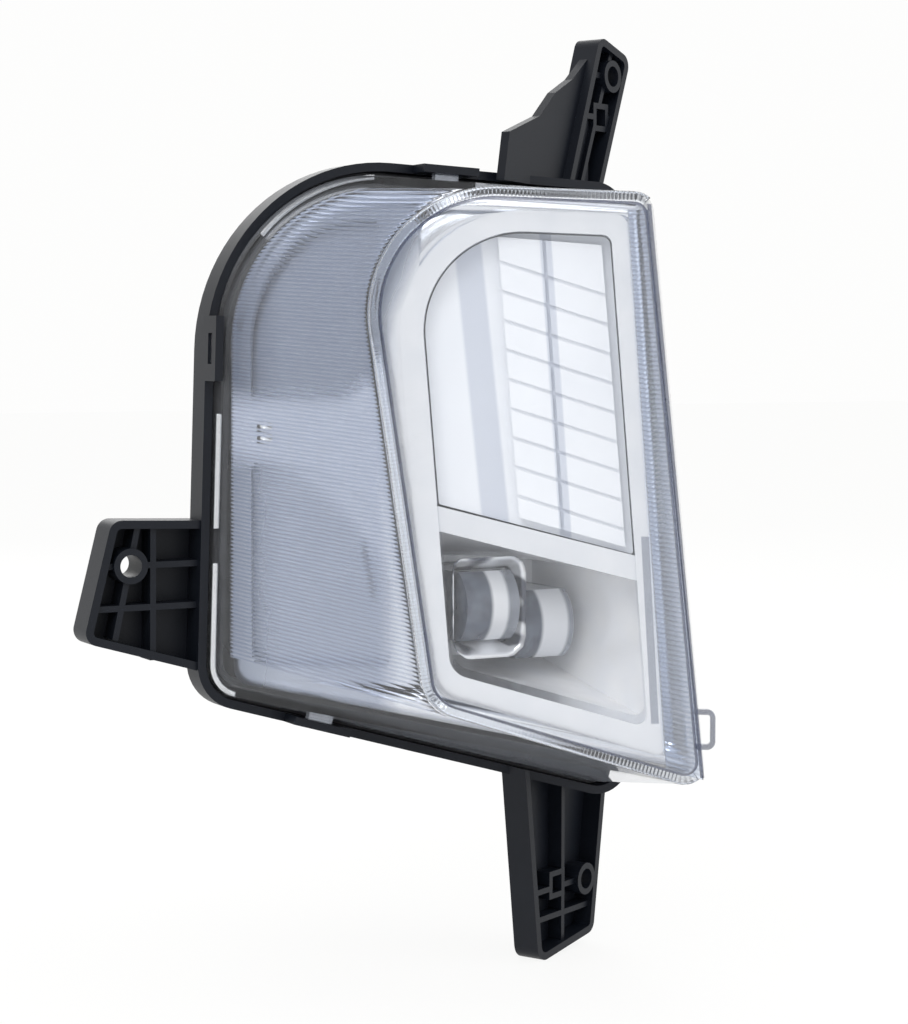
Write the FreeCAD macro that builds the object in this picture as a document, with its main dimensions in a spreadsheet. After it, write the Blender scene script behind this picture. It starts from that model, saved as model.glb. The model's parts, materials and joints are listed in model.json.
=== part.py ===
"""Auxiliary driving light for the front corner of a car, as a parametric document.

Millimetres. X runs to the right seen from the front of the car, Y to the rear, Z up. The lamp is
drawn about the seal plane of its housing flange (Y = 0 there) and every piece is then shifted so
that the origin lies on the bore of the side bracket. The clear face is swept back about Z, and
what sits square behind that face is drawn in the face's own frame: u along the face, y to its rear.
"""
import FreeCAD, Part
import math
import os
import Sketcher
from FreeCAD import Placement, Rotation, Vector

doc = FreeCAD.newDocument("auxiliary_driving_light")
sheet = doc.addObject("Spreadsheet::Sheet", "Sheet")

# Driving dimensions. An outline has four corners, each with a place and a corner radius.
SIZES = {
    "sweep_angle": 30, "face_left": -65.4, "face_front": -6,
    # Housing flange, seal channel and bowl
    "flange_bl_x": -75, "flange_bl_z": -54.5, "flange_bl_r": 14,
    "flange_br_x": 76, "flange_br_z": -98.5, "flange_br_r": 12,
    "flange_tr_x": 73, "flange_tr_z": 101, "flange_tr_r": 12,
    "flange_tl_x": -69.5, "flange_tl_z": 107.5, "flange_tl_r": 58,
    "flange_depth": 9, "channel_wall": 2.6, "channel_width": 4.6, "channel_depth": 6,
    "inner_wall": 2, "inner_wall_drop": 3, "bowl_wall": 2.6, "bowl_rear": 60,
    "rear_bl_x": -48, "rear_bl_z": -52, "rear_bl_r": 18,
    "rear_br_x": 60, "rear_br_z": -80, "rear_br_r": 18,
    "rear_tr_x": 56, "rear_tr_z": 76, "rear_tr_r": 18,
    "rear_tl_x": -46, "rear_tl_z": 78, "rear_tl_r": 30,
    "hoop_length": 19, "hoop_height": 7.5, "hoop_root": 2, "hoop_wall": 2.4,
    "hoop_slot_length": 9, "hoop_slot_height": 3, "hoop_slot_sill": 1.8,
    "left_hoop_z": 49, "top_hoop_x": 6, "low_hoop_x": -38,
    # Outer lens and its seal
    "lens_wall": 2.6, "lens_side_gap": 0.8, "seal_height": 1.4, "seal_side_gap": 0.3,
    "face_bl_u": -4.5, "face_bl_z": -52.5, "face_bl_r": 8,
    "face_br_u": 138.3, "face_br_z": -79.5, "face_br_r": 5,
    "face_tr_u": 121.5, "face_tr_z": 93, "face_tr_r": 5,
    "face_tl_u": -3, "face_tl_z": 102, "face_tl_r": 48,
    "window_bl_u": 58.5, "window_bl_z": -54.5, "window_bl_r": 10,
    "window_br_u": 136.3, "window_br_z": -77.2, "window_br_r": 4,
    "window_tr_u": 119.8, "window_tr_z": 91, "window_tr_r": 4,
    "window_tl_u": 37, "window_tl_z": 94.5, "window_tl_r": 34,
    "window_rise": 2, "window_draft": 25, "catch_width": 8, "catch_height": 2.2, "catch_tip": 0.8,
    "catch_root": 5.5, "loop_out": 4.5, "loop_low": -69, "loop_high": -57, "loop_wall": 1.6, "loop_back": 5,
    "loop_thick": 2, "loop_corner": 2.5,
    # Brackets: ribbed trays, each with a bore for an M6 screw
    "bracket_wall": 2.4, "bracket_floor": 2.4, "rib_width": 1.8, "rib_drop": 1.5,
    "boss_radius": 5.2, "bore_radius": 3.3, "key_size": 9,
    "side_front": 1, "side_depth": 11,
    "side_bl_x": -109.5, "side_bl_z": -35.5, "side_bl_r": 4,
    "side_br_x": -70, "side_br_z": -47, "side_br_r": 0,
    "side_tr_x": -70, "side_tr_z": -1.5, "side_tr_r": 0,
    "side_tl_x": -100.5, "side_tl_z": -0.5, "side_tl_r": 4,
    "side_bore_x": -94.7, "side_bore_z": -14, "side_rib_tilt": 12, "side_cross_z": -26.3,
    "arm_turn": 27, "arm_depth": 9, "arm_front": 3,
    "upper_foot_x": 50, "upper_foot_z": 106.5,
    "upper_bl_s": 4, "upper_bl_z": -10, "upper_bl_r": 0,
    "upper_br_s": 24, "upper_br_z": -10, "upper_br_r": 0,
    "upper_tr_s": 43, "upper_tr_z": 37, "upper_tr_r": 4,
    "upper_tl_s": 24, "upper_tl_z": 43, "upper_tl_r": 4,
    "upper_bore_s": 32, "upper_bore_z": 30.5, "upper_key_s": 27, "upper_key_z": 17,
    "lower_foot_x": 50, "lower_foot_z": -92.5,
    "lower_bl_s": -11, "lower_bl_z": -54.5, "lower_bl_r": 5,
    "lower_br_s": 22, "lower_br_z": -50, "lower_br_r": 4,
    "lower_tr_s": 31, "lower_tr_z": 8, "lower_tr_r": 0,
    "lower_tl_s": -20, "lower_tl_z": 16, "lower_tl_r": 0,
    "lower_bore_s": 17.5, "lower_bore_z": -32, "lower_key_s": 2, "lower_key_z": -31,
    "lower_cross_z": -41,
    # Stepped web at the left of the upper bracket's foot: corners along the arm and up
    "web_front": 3, "web_thick": 3, "web_foot_s": -27, "web_foot_z": -6, "web_knee_s": -24, "web_knee_z": 9,
    "web_step_s": -7, "web_step_z": 15, "web_shoulder_s": 2, "web_shoulder_z": 23, "web_head_s": 12,
    "web_head_z": 28, "web_neck_s": 22, "web_neck_z": 36,
    # Bezel behind the face: frame ring with collar, crossbar and scooped side wing
    "bezel_front": 8, "ring_depth": 3, "collar_wall": 1.8, "collar_depth": 18,
    "ring_bl_u": 56.5, "ring_bl_z": -53, "ring_bl_r": 9,
    "ring_br_u": 127, "ring_br_z": -72, "ring_br_r": 3,
    "ring_tr_u": 114.5, "ring_tr_z": 88, "ring_tr_r": 4,
    "ring_tl_u": 45, "ring_tl_z": 91, "ring_tl_r": 36,
    "mouth_bl_u": 63, "mouth_bl_z": -47, "mouth_bl_r": 7,
    "mouth_br_u": 121.5, "mouth_br_z": -63, "mouth_br_r": 3,
    "mouth_tr_u": 110, "mouth_tr_z": 82, "mouth_tr_r": 3,
    "mouth_tl_u": 52.5, "mouth_tl_z": 84.5, "mouth_tl_r": 29,
    "bar_left_z": 2.5, "bar_right_z": -12.5, "bar_height": 7.5, "bar_front": 13, "bar_depth": 13,
    "wing_front": 9, "wing_depth": 9, "scoop_depth": 5, "wing_margin": 4, "wing_tuck": 1,
    "upper_scoop_z": 34, "lower_scoop_z": 15, "scoop_margin": 3, "scoop_right": 42, "scoop_corner": 2,
    "stud_radius": 3, "stud_end": 50, "stud_bore_depth": 6,
    "stud_x": -30, "stud_low_z": -38, "stud_high_z": 70,
    # Daytime light: grooved inner lens, light box, board and emitters
    "fit_gap": 0.3, "drl_front": 15, "drl_plate": 4, "drl_block_rise": 4, "drl_block_left": 24,
    "drl_block_margin": 2.5,
    "drl_groove_pitch": 8.6, "drl_groove_width": 1, "drl_groove_depth": 0.8, "drl_groove_slope": 17.5,
    "drl_groove_count": 10, "drl_groove_first": -8, "drl_seam_offset": 13, "drl_seam_reach": 6, "drl_seam_width": 1,
    "drl_seam_depth": 1.2, "box_inset": 1.5, "box_depth": 16, "box_wall": 1.6, "board_thick": 1.6,
    "chip_size": 3.5, "chip_height": 0.8, "drl_chip_pitch": 12, "drl_chip_rows": 6, "drl_chip_first": 5,
    "drl_chip_left": 80, "drl_chip_right": 100,
    # Fog light: reflector bowl, two primary optics, board and cooling block
    "dish_bl_x": -8, "dish_bl_z": -49, "dish_bl_r": 0,
    "dish_br_x": 46, "dish_br_z": -50, "dish_br_r": 0,
    "dish_tr_x": 46, "dish_tr_z": -16, "dish_tr_r": 0,
    "dish_tl_x": -8, "dish_tl_z": -13, "dish_tl_r": 0,
    "reflector_wall": 1.8, "reflector_back": 12,
    "optic_width": 18, "optic_height": 21, "optic_crown": 6, "optic_gap": 0.5, "optic_corner": 0.5,
    "fog_optic_x": 11.5, "fog_optic_z": -29, "fog_optic_front": -24,
    "corner_optic_x": 33, "corner_optic_z": -36, "corner_optic_front": -20,
    "fog_board_margin": 1, "pad_thick": 0.5,
    "sink_left": -12, "sink_right": 48, "sink_low": -52, "sink_high": -12, "sink_corner": 4,
    "sink_wall": 4, "sink_face": 6, "sink_gap": 0.5, "sink_plate": 4, "sink_lip": 8,
    "gasket_thick": 1.2, "gasket_band": 2.2,
    "fin_height": 22, "fin_thick": 2, "fin_count": 8, "fin_root": 1,
    # Driver bay with cover, board and connector at the upper rear
    "bay_left": -34, "bay_right": 36, "bay_low": 6, "bay_high": 58, "bay_corner": 6,
    "cover_lip": 7, "cover_plate": 3, "cover_height": 16, "cover_wall": 2.2,
    "plug_x": 20, "plug_z": 42, "plug_width": 24, "plug_high": 16, "plug_length": 20, "plug_wall": 1.8,
    "plug_floor": 4, "plug_corner": 3, "pin_count": 4, "pin_pitch": 4.5, "pin_size": 0.8, "pin_length": 10,
    "vent_x": -34, "vent_z": -14, "vent_radius": 8, "vent_height": 7, "vent_neck": 3,
    # Screws
    "screw_radius": 1.5, "screw_head_radius": 3, "screw_head_height": 2.2, "screw_length": 14,
    "screw_hole_radius": 1.7, "screw_boss_radius": 4, "screw_boss_height": 10, "screw_hole_depth": 11,
    "screw_in_lip": 4.7, "screw_in_corner": 8,
}


def fill_sheet():
    """One row for each driving dimension: its name and its value, which carries the alias."""
    for row, (name, value) in enumerate(SIZES.items(), start=1):
        sheet.set(f"A{row}", name)
        sheet.set(f"B{row}", str(value))
        sheet.setAlias(f"B{row}", name)
    doc.recompute()


fill_sheet()


def size(name):
    """The value of one driving dimension."""
    return float(sheet.get(name))


def cell(name):
    """The expression that reads one driving dimension."""
    return f"Sheet.{name}"


CORNERS = ("bl", "br", "tr", "tl")


def outline(name, across):
    """Corners of a named outline, anticlockwise, as (across, up, radius)."""
    keys = [(f"{name}_{c}_{across}", f"{name}_{c}_z", f"{name}_{c}_r") for c in CORNERS]
    return [tuple(size(key) for key in corner) for corner in keys]


def inset(points, distance):
    """The outline moved inwards by one distance, its corner radii shrinking with it."""
    moved = []
    for index, (x, z, radius) in enumerate(points):
        before = points[index - 1]
        after = points[(index + 1) % len(points)]
        first = unit(x - before[0], z - before[1])
        second = unit(after[0] - x, after[1] - z)
        side = (-first[1] - second[1], first[0] + second[0])
        stretch = distance / (1 + first[0] * second[0] + first[1] * second[1])
        moved.append((x + side[0] * stretch, z + side[1] * stretch, rounded(radius, distance)))
    return moved


def rounded(radius, distance):
    """Corner radius after an inset: a sharp corner stays sharp, a round one stays concentric."""
    return max(radius - distance, 0) if radius else 0


def unit(x, z):
    length = math.hypot(x, z)
    return x / length, z / length


def rectangle(left, right, low, high, radius):
    """Corners of an upright rounded rectangle."""
    return [(left, low, radius), (right, low, radius), (right, high, radius), (left, high, radius)]


def draw(sketch, points, bound=None, across="x"):
    """Straight sides joined by tangent corner arcs; bound names the cells that hold the corners."""
    count = len(points)
    ends = []
    for index, (x, z, radius) in enumerate(points):
        before = points[index - 1]
        after = points[(index + 1) % count]
        first = unit(x - before[0], z - before[1])
        second = unit(after[0] - x, after[1] - z)
        turn = math.acos(max(-1, min(1, first[0] * second[0] + first[1] * second[1])))
        reach = radius * math.tan(turn / 2)
        start = Vector(x - first[0] * reach, z - first[1] * reach, 0)
        stop = Vector(x + second[0] * reach, z + second[1] * reach, 0)
        centre = start + Vector(-first[1], first[0], 0) * radius
        ends.append((start, stop, centre, radius))
    loop = []
    for index, (start, stop, centre, radius) in enumerate(ends):
        if radius:
            begin = math.atan2(start.y - centre.y, start.x - centre.x)
            end = math.atan2(stop.y - centre.y, stop.x - centre.x)
            circle = Part.Circle(centre, Vector(0, 0, 1), radius)
            loop.append(sketch.addGeometry(Part.ArcOfCircle(circle, begin, end), False))
        loop.append(sketch.addGeometry(Part.LineSegment(stop, ends[(index + 1) % count][0]), False))
    for here, following in zip(loop, loop[1:] + loop[:1]):
        both_straight = "Line" in sketch.Geometry[here].TypeId and "Line" in sketch.Geometry[following].TypeId
        kind = "Coincident" if both_straight else "Tangent"
        sketch.addConstraint(Sketcher.Constraint(kind, here, 2, following, 1))
    if bound:
        bind_corners(sketch, loop, points, bound, across)


def bind_corners(sketch, loop, points, name, across):
    """Ties each corner of a drawn outline to its cells, through a construction point."""
    place = 0
    for corner, (x, z, radius) in zip(CORNERS, points):
        line_before = loop[place - 1]
        point = sketch.addGeometry(Part.Point(Vector(x, z, 0)), True)
        if radius:
            bind(sketch, Sketcher.Constraint("Radius", loop[place], radius), f"{name}_{corner}_r")
            place += 1
        sketch.addConstraint(Sketcher.Constraint("PointOnObject", point, 1, line_before))
        sketch.addConstraint(Sketcher.Constraint("PointOnObject", point, 1, loop[place]))
        bind(sketch, Sketcher.Constraint("DistanceX", -1, 1, point, 1, x), f"{name}_{corner}_{across}")
        bind(sketch, Sketcher.Constraint("DistanceY", -1, 1, point, 1, z), f"{name}_{corner}_z")
        place += 1


def bind(sketch, constraint, name):
    index = sketch.addConstraint(constraint)
    sketch.setExpression(f"Constraints[{index}]", cell(name))


def new_body(label, placement=None):
    body = doc.addObject("PartDesign::Body", label)
    body.Label = label
    body.Placement = placement or datum_frame()
    return body


def plane(body, role):
    return next(item for item in body.Origin.OriginFeatures if item.Role == role)


def sketch_on(body, name, depth=0.0, role="XZ_Plane", turned=None):
    """A sketch on an origin plane of its body, set back by depth; turned gives a swept plane."""
    sketch = body.newObject("Sketcher::SketchObject", name)
    sketch.AttachmentSupport = [(plane(body, role), "")]
    sketch.MapMode = "FlatFace"
    sketch.AttachmentOffset = turned or Placement(Vector(0, 0, -depth), Rotation())
    return sketch


def swept_plane(depth):
    """The face's plane seen from the flange's own frame, moved back by depth along its normal."""
    sweep = math.radians(size("sweep_angle"))
    x = size("face_left") + depth * math.sin(sweep)
    y = size("face_front") + depth * math.cos(sweep)
    return Placement(Vector(x, 0, -y), Rotation(Vector(0, 1, 0), -size("sweep_angle")))


def pad(body, sketch, name, length, rearward=True):
    """Solid from a sketch; rearward sends it along +Y from the XZ plane."""
    feature = body.newObject("PartDesign::Pad", name)
    feature.Profile = sketch
    feature.Reversed = rearward
    set_length(feature, length)
    doc.recompute()
    return feature


def pocket(body, sketch, name, length, rearward=True):
    """Cut from a sketch, checked to have taken material away."""
    before = body.Shape.Volume
    feature = body.newObject("PartDesign::Pocket", name)
    feature.Profile = sketch
    feature.Reversed = not rearward
    set_length(feature, length)
    doc.recompute()
    if not feature.Shape.Volume < before - 1e-6:
        raise ValueError(f"{body.Label}: {name} cut nothing")
    return feature


def set_length(feature, length):
    if isinstance(length, str):
        feature.setExpression("Length", length)
    else:
        feature.Length = length


def loft(body, name, first, second, additive=True):
    """Ruled solid, or cut, between two outlines of the same number of sides."""
    kind = "PartDesign::AdditiveLoft" if additive else "PartDesign::SubtractiveLoft"
    feature = body.newObject(kind, name)
    feature.Profile = first
    feature.Sections = [(second, [""])]
    feature.Ruled = True
    doc.recompute()
    return feature


def origin_point():
    return Vector(size("side_bore_x"), size("side_front"), size("side_bore_z"))


def datum_frame():
    """Frame of the flange's seal plane, shifted to the side bracket's bore."""
    return Placement(-origin_point(), Rotation())


def face_frame():
    """Frame of the swept face: u along the face, y to its rear."""
    base = Vector(size("face_left"), size("face_front"), 0) - origin_point()
    return Placement(base, Rotation(Vector(0, 0, 1), -size("sweep_angle")))


def arm_frame(name):
    """Frame of an upper or lower bracket, turned outwards about Z."""
    base = Vector(size(f"{name}_foot_x"), size("arm_front"), size(f"{name}_foot_z")) - origin_point()
    return Placement(base, Rotation(Vector(0, 0, 1), size("arm_turn")))


def plate(label, points, front, thickness, placement=None, holes=(), bound=None, across="x"):
    """A flat piece of one outline, with any inner outlines cut through it."""
    body = new_body(label, placement)
    sketch = sketch_on(body, f"{label}_outline", front)
    draw(sketch, points, bound, across)
    for hole in holes:
        draw(sketch, hole)
    pad(body, sketch, f"{label}_pad", thickness)
    return body


def circles(body, name, centres, radius, depth):
    """A sketch of equal circles set back by depth, their radius bound to a cell."""
    sketch = sketch_on(body, name, depth)
    for x, z in centres:
        circle = sketch.addGeometry(Part.Circle(Vector(x, z, 0), Vector(0, 0, 1), size(radius)), False)
        bind(sketch, Sketcher.Constraint("Radius", circle, size(radius)), radius)
    return sketch


FLANGE = outline("flange", "x")
REAR = outline("rear", "x")
FACE = outline("face", "u")
WINDOW = outline("window", "u")
RING = outline("ring", "u")
MOUTH = outline("mouth", "u")
CHANNEL_INNER = size("channel_wall") + size("channel_width")
CLEAR = CHANNEL_INNER + size("inner_wall")
FOOT = size("channel_depth") - size("seal_height")
REAR_FACE = size("bowl_rear")
INNER_REAR = REAR_FACE - size("bowl_wall")
LIP_FACE = REAR_FACE + size("gasket_thick")
SINK = rectangle(*(size(f"sink_{side}") for side in ("left", "right", "low", "high", "corner")))
BAY = rectangle(*(size(f"bay_{side}") for side in ("left", "right", "low", "high", "corner")))
STUDS = [(size("stud_x"), size("stud_low_z")), (size("stud_x"), size("stud_high_z"))]


def lip_screws(frame):
    """Two screw places on each upright side of a rear lip round a rectangular opening."""
    away = size("screw_in_lip")
    left, low = frame[0][0] - away, frame[0][1] + size("screw_in_corner")
    right, high = frame[2][0] + away, frame[2][1] - size("screw_in_corner")
    return [(left, low), (right, low), (right, high), (left, high)]


def side_at(top, bottom, z):
    """Where the straight side between two corners stands at a height."""
    share = (top[1] - z) / (top[1] - bottom[1])
    return top[0] + (bottom[0] - top[0]) * share


def height_at(left, right, x):
    """How high the straight side between two corners stands at a place across."""
    return left[1] + (right[1] - left[1]) * (x - left[0]) / (right[0] - left[0])


def on_face(x, depth):
    """Y of the plane that lies depth behind the face, at one X."""
    sweep = math.radians(size("sweep_angle"))
    away = depth - (x - size("face_left")) * math.sin(sweep)
    return size("face_front") + away / math.cos(sweep)


def hoop_frames():
    """Frames of the snap hoops: x along the flange's side, z into the lamp."""
    left = (side_at(FLANGE[3], FLANGE[0], size("left_hoop_z")), size("left_hoop_z"))
    top = (size("top_hoop_x"), height_at(FLANGE[3], FLANGE[2], size("top_hoop_x")))
    low = (size("low_hoop_x"), height_at(FLANGE[0], FLANGE[1], size("low_hoop_x")))
    sides = {"left": (left, FLANGE[3], FLANGE[0]), "top": (top, FLANGE[2], FLANGE[3])}
    sides["low"] = (low, FLANGE[0], FLANGE[1])
    frames = {}
    for name, (place, start, stop) in sides.items():
        angle = math.degrees(math.atan2(stop[1] - start[1], stop[0] - start[0]))
        base = Vector(place[0], 0, place[1]) - origin_point()
        frames[name] = Placement(base, Rotation(Vector(0, -1, 0), angle))
    return frames


def housing_shell():
    """Flange with its seal channel, and the bowl behind it with openings in its rear wall."""
    body = new_body("housing_shell")
    rim = sketch_on(body, "flange_outline")
    draw(rim, FLANGE, "flange")
    pad(body, rim, "flange_pad", cell("flange_depth"))
    front = sketch_on(body, "bowl_front", size("flange_depth"))
    draw(front, inset(FLANGE, CLEAR - size("bowl_wall")))
    rear = sketch_on(body, "bowl_back", REAR_FACE)
    draw(rear, REAR, "rear")
    loft(body, "bowl", front, rear)
    mouth = sketch_on(body, "cavity_mouth")
    draw(mouth, inset(FLANGE, CLEAR))
    pocket(body, mouth, "cavity_front", cell("flange_depth"))
    cavity = sketch_on(body, "cavity_start", size("flange_depth"))
    draw(cavity, inset(FLANGE, CLEAR))
    floor = sketch_on(body, "cavity_floor", INNER_REAR)
    draw(floor, inset(REAR, size("bowl_wall")))
    loft(body, "cavity", cavity, floor, additive=False)
    step = sketch_on(body, "inner_wall_top")
    draw(step, inset(FLANGE, size("channel_wall")))
    pocket(body, step, "inner_wall_step", cell("inner_wall_drop"))
    channel = sketch_on(body, "channel_ring")
    draw(channel, inset(FLANGE, size("channel_wall")))
    draw(channel, inset(FLANGE, CHANNEL_INNER))
    pocket(body, channel, "seal_channel", cell("channel_depth"))
    rear_details(body)
    return body


def rear_details(body):
    """Screw bosses inside the rear wall, then the openings and holes through it."""
    lips = lip_screws(SINK) + lip_screws(BAY)
    bosses = circles(body, "lip_bosses", lips, "screw_boss_radius", INNER_REAR - size("screw_boss_height"))
    pad(body, bosses, "lip_boss_pad", cell("screw_boss_height"))
    seats = circles(body, "stud_seats", STUDS, "screw_boss_radius", size("stud_end"))
    pad(body, seats, "stud_seat_pad", INNER_REAR - size("stud_end"))
    openings = sketch_on(body, "rear_openings", INNER_REAR)
    draw(openings, inset(SINK, -size("sink_gap")))
    draw(openings, inset(BAY, size("cover_wall")))
    pocket(body, openings, "rear_opening_cut", cell("bowl_wall"))
    lip_holes = circles(body, "lip_holes", lips, "screw_hole_radius", REAR_FACE - size("screw_hole_depth"))
    pocket(body, lip_holes, "lip_hole_cut", cell("screw_hole_depth"))
    stud_holes = circles(body, "stud_holes", STUDS, "screw_hole_radius", size("stud_end"))
    pocket(body, stud_holes, "stud_hole_cut", REAR_FACE - size("stud_end"))
    vent = circles(body, "vent_hole", [(size("vent_x"), size("vent_z"))], "vent_neck", INNER_REAR)
    pocket(body, vent, "vent_hole_cut", cell("bowl_wall"))


def hoop(name, frame):
    """A snap hoop that stands forward of the flange, with a slot for a catch of the lens."""
    body = new_body(f"{name}_hoop", frame)
    half = size("hoop_length") / 2
    base = sketch_on(body, f"{name}_hoop_base", size("hoop_root"))
    draw(base, rectangle(-half, half, 0, size("hoop_wall"), 0))
    pad(body, base, f"{name}_hoop_pad", size("hoop_height") + size("hoop_root"), rearward=False)
    slot = sketch_on(body, f"{name}_hoop_slot", 0, "XY_Plane")
    reach = size("hoop_slot_length") / 2
    sill = -size("hoop_slot_sill")
    draw(slot, rectangle(-reach, reach, sill - size("hoop_slot_height"), sill, 0))
    pocket(body, slot, f"{name}_hoop_cut", cell("hoop_wall"), rearward=False)
    return body


def catch(name, frame):
    """The lens's own catch, which reaches into a hoop's slot."""
    body = new_body(f"{name}_catch", frame)
    half = size("catch_width") / 2
    middle = -size("hoop_slot_sill") - size("hoop_slot_height") / 2
    back = sketch_on(body, f"{name}_catch_base", middle + size("catch_height") / 2)
    draw(back, rectangle(-half, half, size("catch_tip"), size("catch_root"), 0))
    pad(body, back, f"{name}_catch_pad", cell("catch_height"), rearward=False)
    return body


def bar_points(start, stop, width):
    """Corners of a straight bar between two points, anticlockwise."""
    along = unit(stop[0] - start[0], stop[1] - start[1])
    side = (-along[1] * width / 2, along[0] * width / 2)
    corners = [(start, -1), (stop, -1), (stop, 1), (start, 1)]
    return [(p[0] + side[0] * way, p[1] + side[1] * way, 0) for p, way in corners]


def tray(name, placement, points, bound, across, depth, bore, ribs, key=None):
    """A moulded tray bracket: rim and floor, inner ribs, a bored boss and a square key pocket."""
    body = new_body(f"{name}_bracket", placement)
    outer = sketch_on(body, f"{name}_outer")
    draw(outer, points, bound, across)
    pad(body, outer, f"{name}_block", cell(depth))
    inner = sketch_on(body, f"{name}_inner")
    draw(inner, inset(points, size("bracket_wall")))
    pocket(body, inner, f"{name}_hollow", size(depth) - size("bracket_floor"))
    height = size(depth) - size("rib_drop") - size("bracket_floor") / 2
    for index, (start, stop) in enumerate(ribs):
        rib = sketch_on(body, f"{name}_rib_{index}", size("rib_drop"))
        draw(rib, bar_points(start, stop, size("rib_width")))
        pad(body, rib, f"{name}_rib_{index}_pad", height)
    boss = circles(body, f"{name}_boss", [bore], "boss_radius", 0)
    pad(body, boss, f"{name}_boss_pad", cell(depth))
    if key:
        half = size("key_size") / 2
        block = sketch_on(body, f"{name}_key", size("rib_drop"))
        draw(block, rectangle(key[0] - half, key[0] + half, key[1] - half, key[1] + half, 0))
        pad(body, block, f"{name}_key_pad", height)
        hole = sketch_on(body, f"{name}_key_hole", size("rib_drop"))
        half -= size("rib_width")
        draw(hole, rectangle(key[0] - half, key[0] + half, key[1] - half, key[1] + half, 0))
        pocket(body, hole, f"{name}_key_cut", height / 2)
    hole = circles(body, f"{name}_bore", [bore], "bore_radius", 0)
    pocket(body, hole, f"{name}_bore_cut", cell(depth))
    return body


def side_bracket():
    """The tray at the lamp's left, square to the flange; its upright rib leans with the lamp."""
    points = outline("side", "x")
    bore = (size("side_bore_x"), size("side_bore_z"))
    lean = math.tan(math.radians(size("side_rib_tilt")))
    wall = size("bracket_wall") / 2
    top = (bore[0] + (points[3][1] - bore[1]) * lean, points[3][1] - wall)
    low_z = points[0][1]
    low = (bore[0] - (bore[1] - low_z) * lean, low_z)
    cross = size("side_cross_z")
    ribs = [(low, top)]
    for z in (bore[1], cross):
        ribs.append(((side_at(points[3], points[0], z) + wall, z), (points[1][0], z)))
    second = (top[0] + bore[0] - low[0], top[1])
    ribs.append(((second[0] - 2 * lean, height_at(points[0], points[1], second[0])), second))
    placement = datum_frame()
    placement.Base = placement.Base + Vector(0, size("side_front"), 0)
    return tray("side", placement, points, "side", "x", "side_depth", bore, ribs)


def arm_bracket(name):
    """An upper or lower tray, turned outwards, with a cross rib through its bore."""
    points = outline(name, "s")
    bore = (size(f"{name}_bore_s"), size(f"{name}_bore_z"))
    key = (size(f"{name}_key_s"), size(f"{name}_key_z"))
    wall = size("bracket_wall") / 2
    levels = [bore[1], key[1]]
    if name == "lower":
        levels = [bore[1], size("lower_cross_z")]
    ribs = []
    for z in levels:
        left = side_at(points[3], points[0], z) + wall
        right = side_at(points[2], points[1], z) - wall
        ribs.append(((left, z), (right, z)))
    high = (points[3][0] + points[2][0]) / 2, (points[3][1] + points[2][1]) / 2 - wall
    low = (points[0][0] + points[1][0]) / 2, (points[0][1] + points[1][1]) / 2 + wall
    ribs.append((low, high))
    return tray(name, arm_frame(name), points, name, "s", "arm_depth", bore, ribs, key)


def upper_web():
    """The stepped web that braces the upper bracket on its left, down to the flange."""
    steps = ("neck", "head", "shoulder", "step", "knee", "foot")
    base = outline("upper", "s")[1]
    points = [(base[0] - size("bracket_wall"), base[1], 0)]
    points += [(size(f"web_{step}_s"), size(f"web_{step}_z"), 0) for step in steps]
    return plate("upper_web", points, size("web_front"), cell("web_thick"), arm_frame("upper"))


def join(label, pieces):
    """One moulded piece from several overlapping solids."""
    fuse = doc.addObject("Part::MultiFuse", label)
    fuse.Label = label
    fuse.Shapes = pieces
    fuse.Refine = True
    doc.recompute()
    return fuse


def housing():
    """Black moulded housing: shell, snap hoops and three integral tray brackets."""
    pieces = [housing_shell()]
    pieces += [hoop(name, frame) for name, frame in hoop_frames().items()]
    brackets = join("brackets", [side_bracket(), arm_bracket("upper"), upper_web(), arm_bracket("lower")])
    trimmed = doc.addObject("Part::Cut", "trimmed_brackets")
    trimmed.Base = brackets
    trimmed.Tool = channel_clearance()
    return join("housing", pieces + [trimmed])


def channel_clearance():
    """The space inside the flange's outer wall, which the brackets must leave free."""
    front = -size("arm_depth")
    points = inset(FLANGE, size("channel_wall"))
    return plate("channel_clearance", points, front, size("channel_depth") - front)


def outer_lens():
    """Clear shell lofted from the seal channel to the swept face, with a raised window."""
    body = new_body("lens_shell")
    outside = inset(FLANGE, size("channel_wall") + size("lens_side_gap"))
    foot = sketch_on(body, "lens_foot", FOOT)
    draw(foot, outside)
    face = sketch_on(body, "lens_face", turned=swept_plane(0))
    draw(face, FACE, "face", "u")
    loft(body, "lens_block", foot, face)
    hollow = sketch_on(body, "lens_hollow_foot", FOOT)
    draw(hollow, inset(outside, size("lens_wall")))
    ceiling = sketch_on(body, "lens_hollow_face", turned=swept_plane(size("lens_wall")))
    draw(ceiling, inset(FACE, size("lens_wall")))
    loft(body, "lens_hollow", hollow, ceiling, additive=False)
    window = sketch_on(body, "window_outline", turned=swept_plane(0))
    draw(window, WINDOW, "window", "u")
    rise = pad(body, window, "window_pad", cell("window_rise"), rearward=False)
    rise.TaperAngle = -size("window_draft")
    doc.recompute()
    catches = [catch(name, frame) for name, frame in hoop_frames().items()]
    return join("outer_lens", [body, side_loop()] + catches)


def side_loop():
    """Thin clear locating loop behind the right edge of the face."""
    low, high = size("loop_low"), size("loop_high")
    edge = side_at(FACE[2], FACE[1], (low + high) / 2)
    wall = size("loop_wall")
    ring = rectangle(edge - size("loop_out"), edge + size("loop_out"), low, high, size("loop_corner"))
    return plate("lens_loop", ring, size("loop_back"), cell("loop_thick"), face_frame(), [inset(ring, wall)])


def lens_seal():
    """Sealant bead on the channel's floor, under the foot of the lens."""
    gap = size("seal_side_gap")
    outer = inset(FLANGE, size("channel_wall") + gap)
    inner = inset(FLANGE, CHANNEL_INNER - gap)
    return plate("lens_seal", outer, FOOT, cell("seal_height"), None, [inner])


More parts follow.
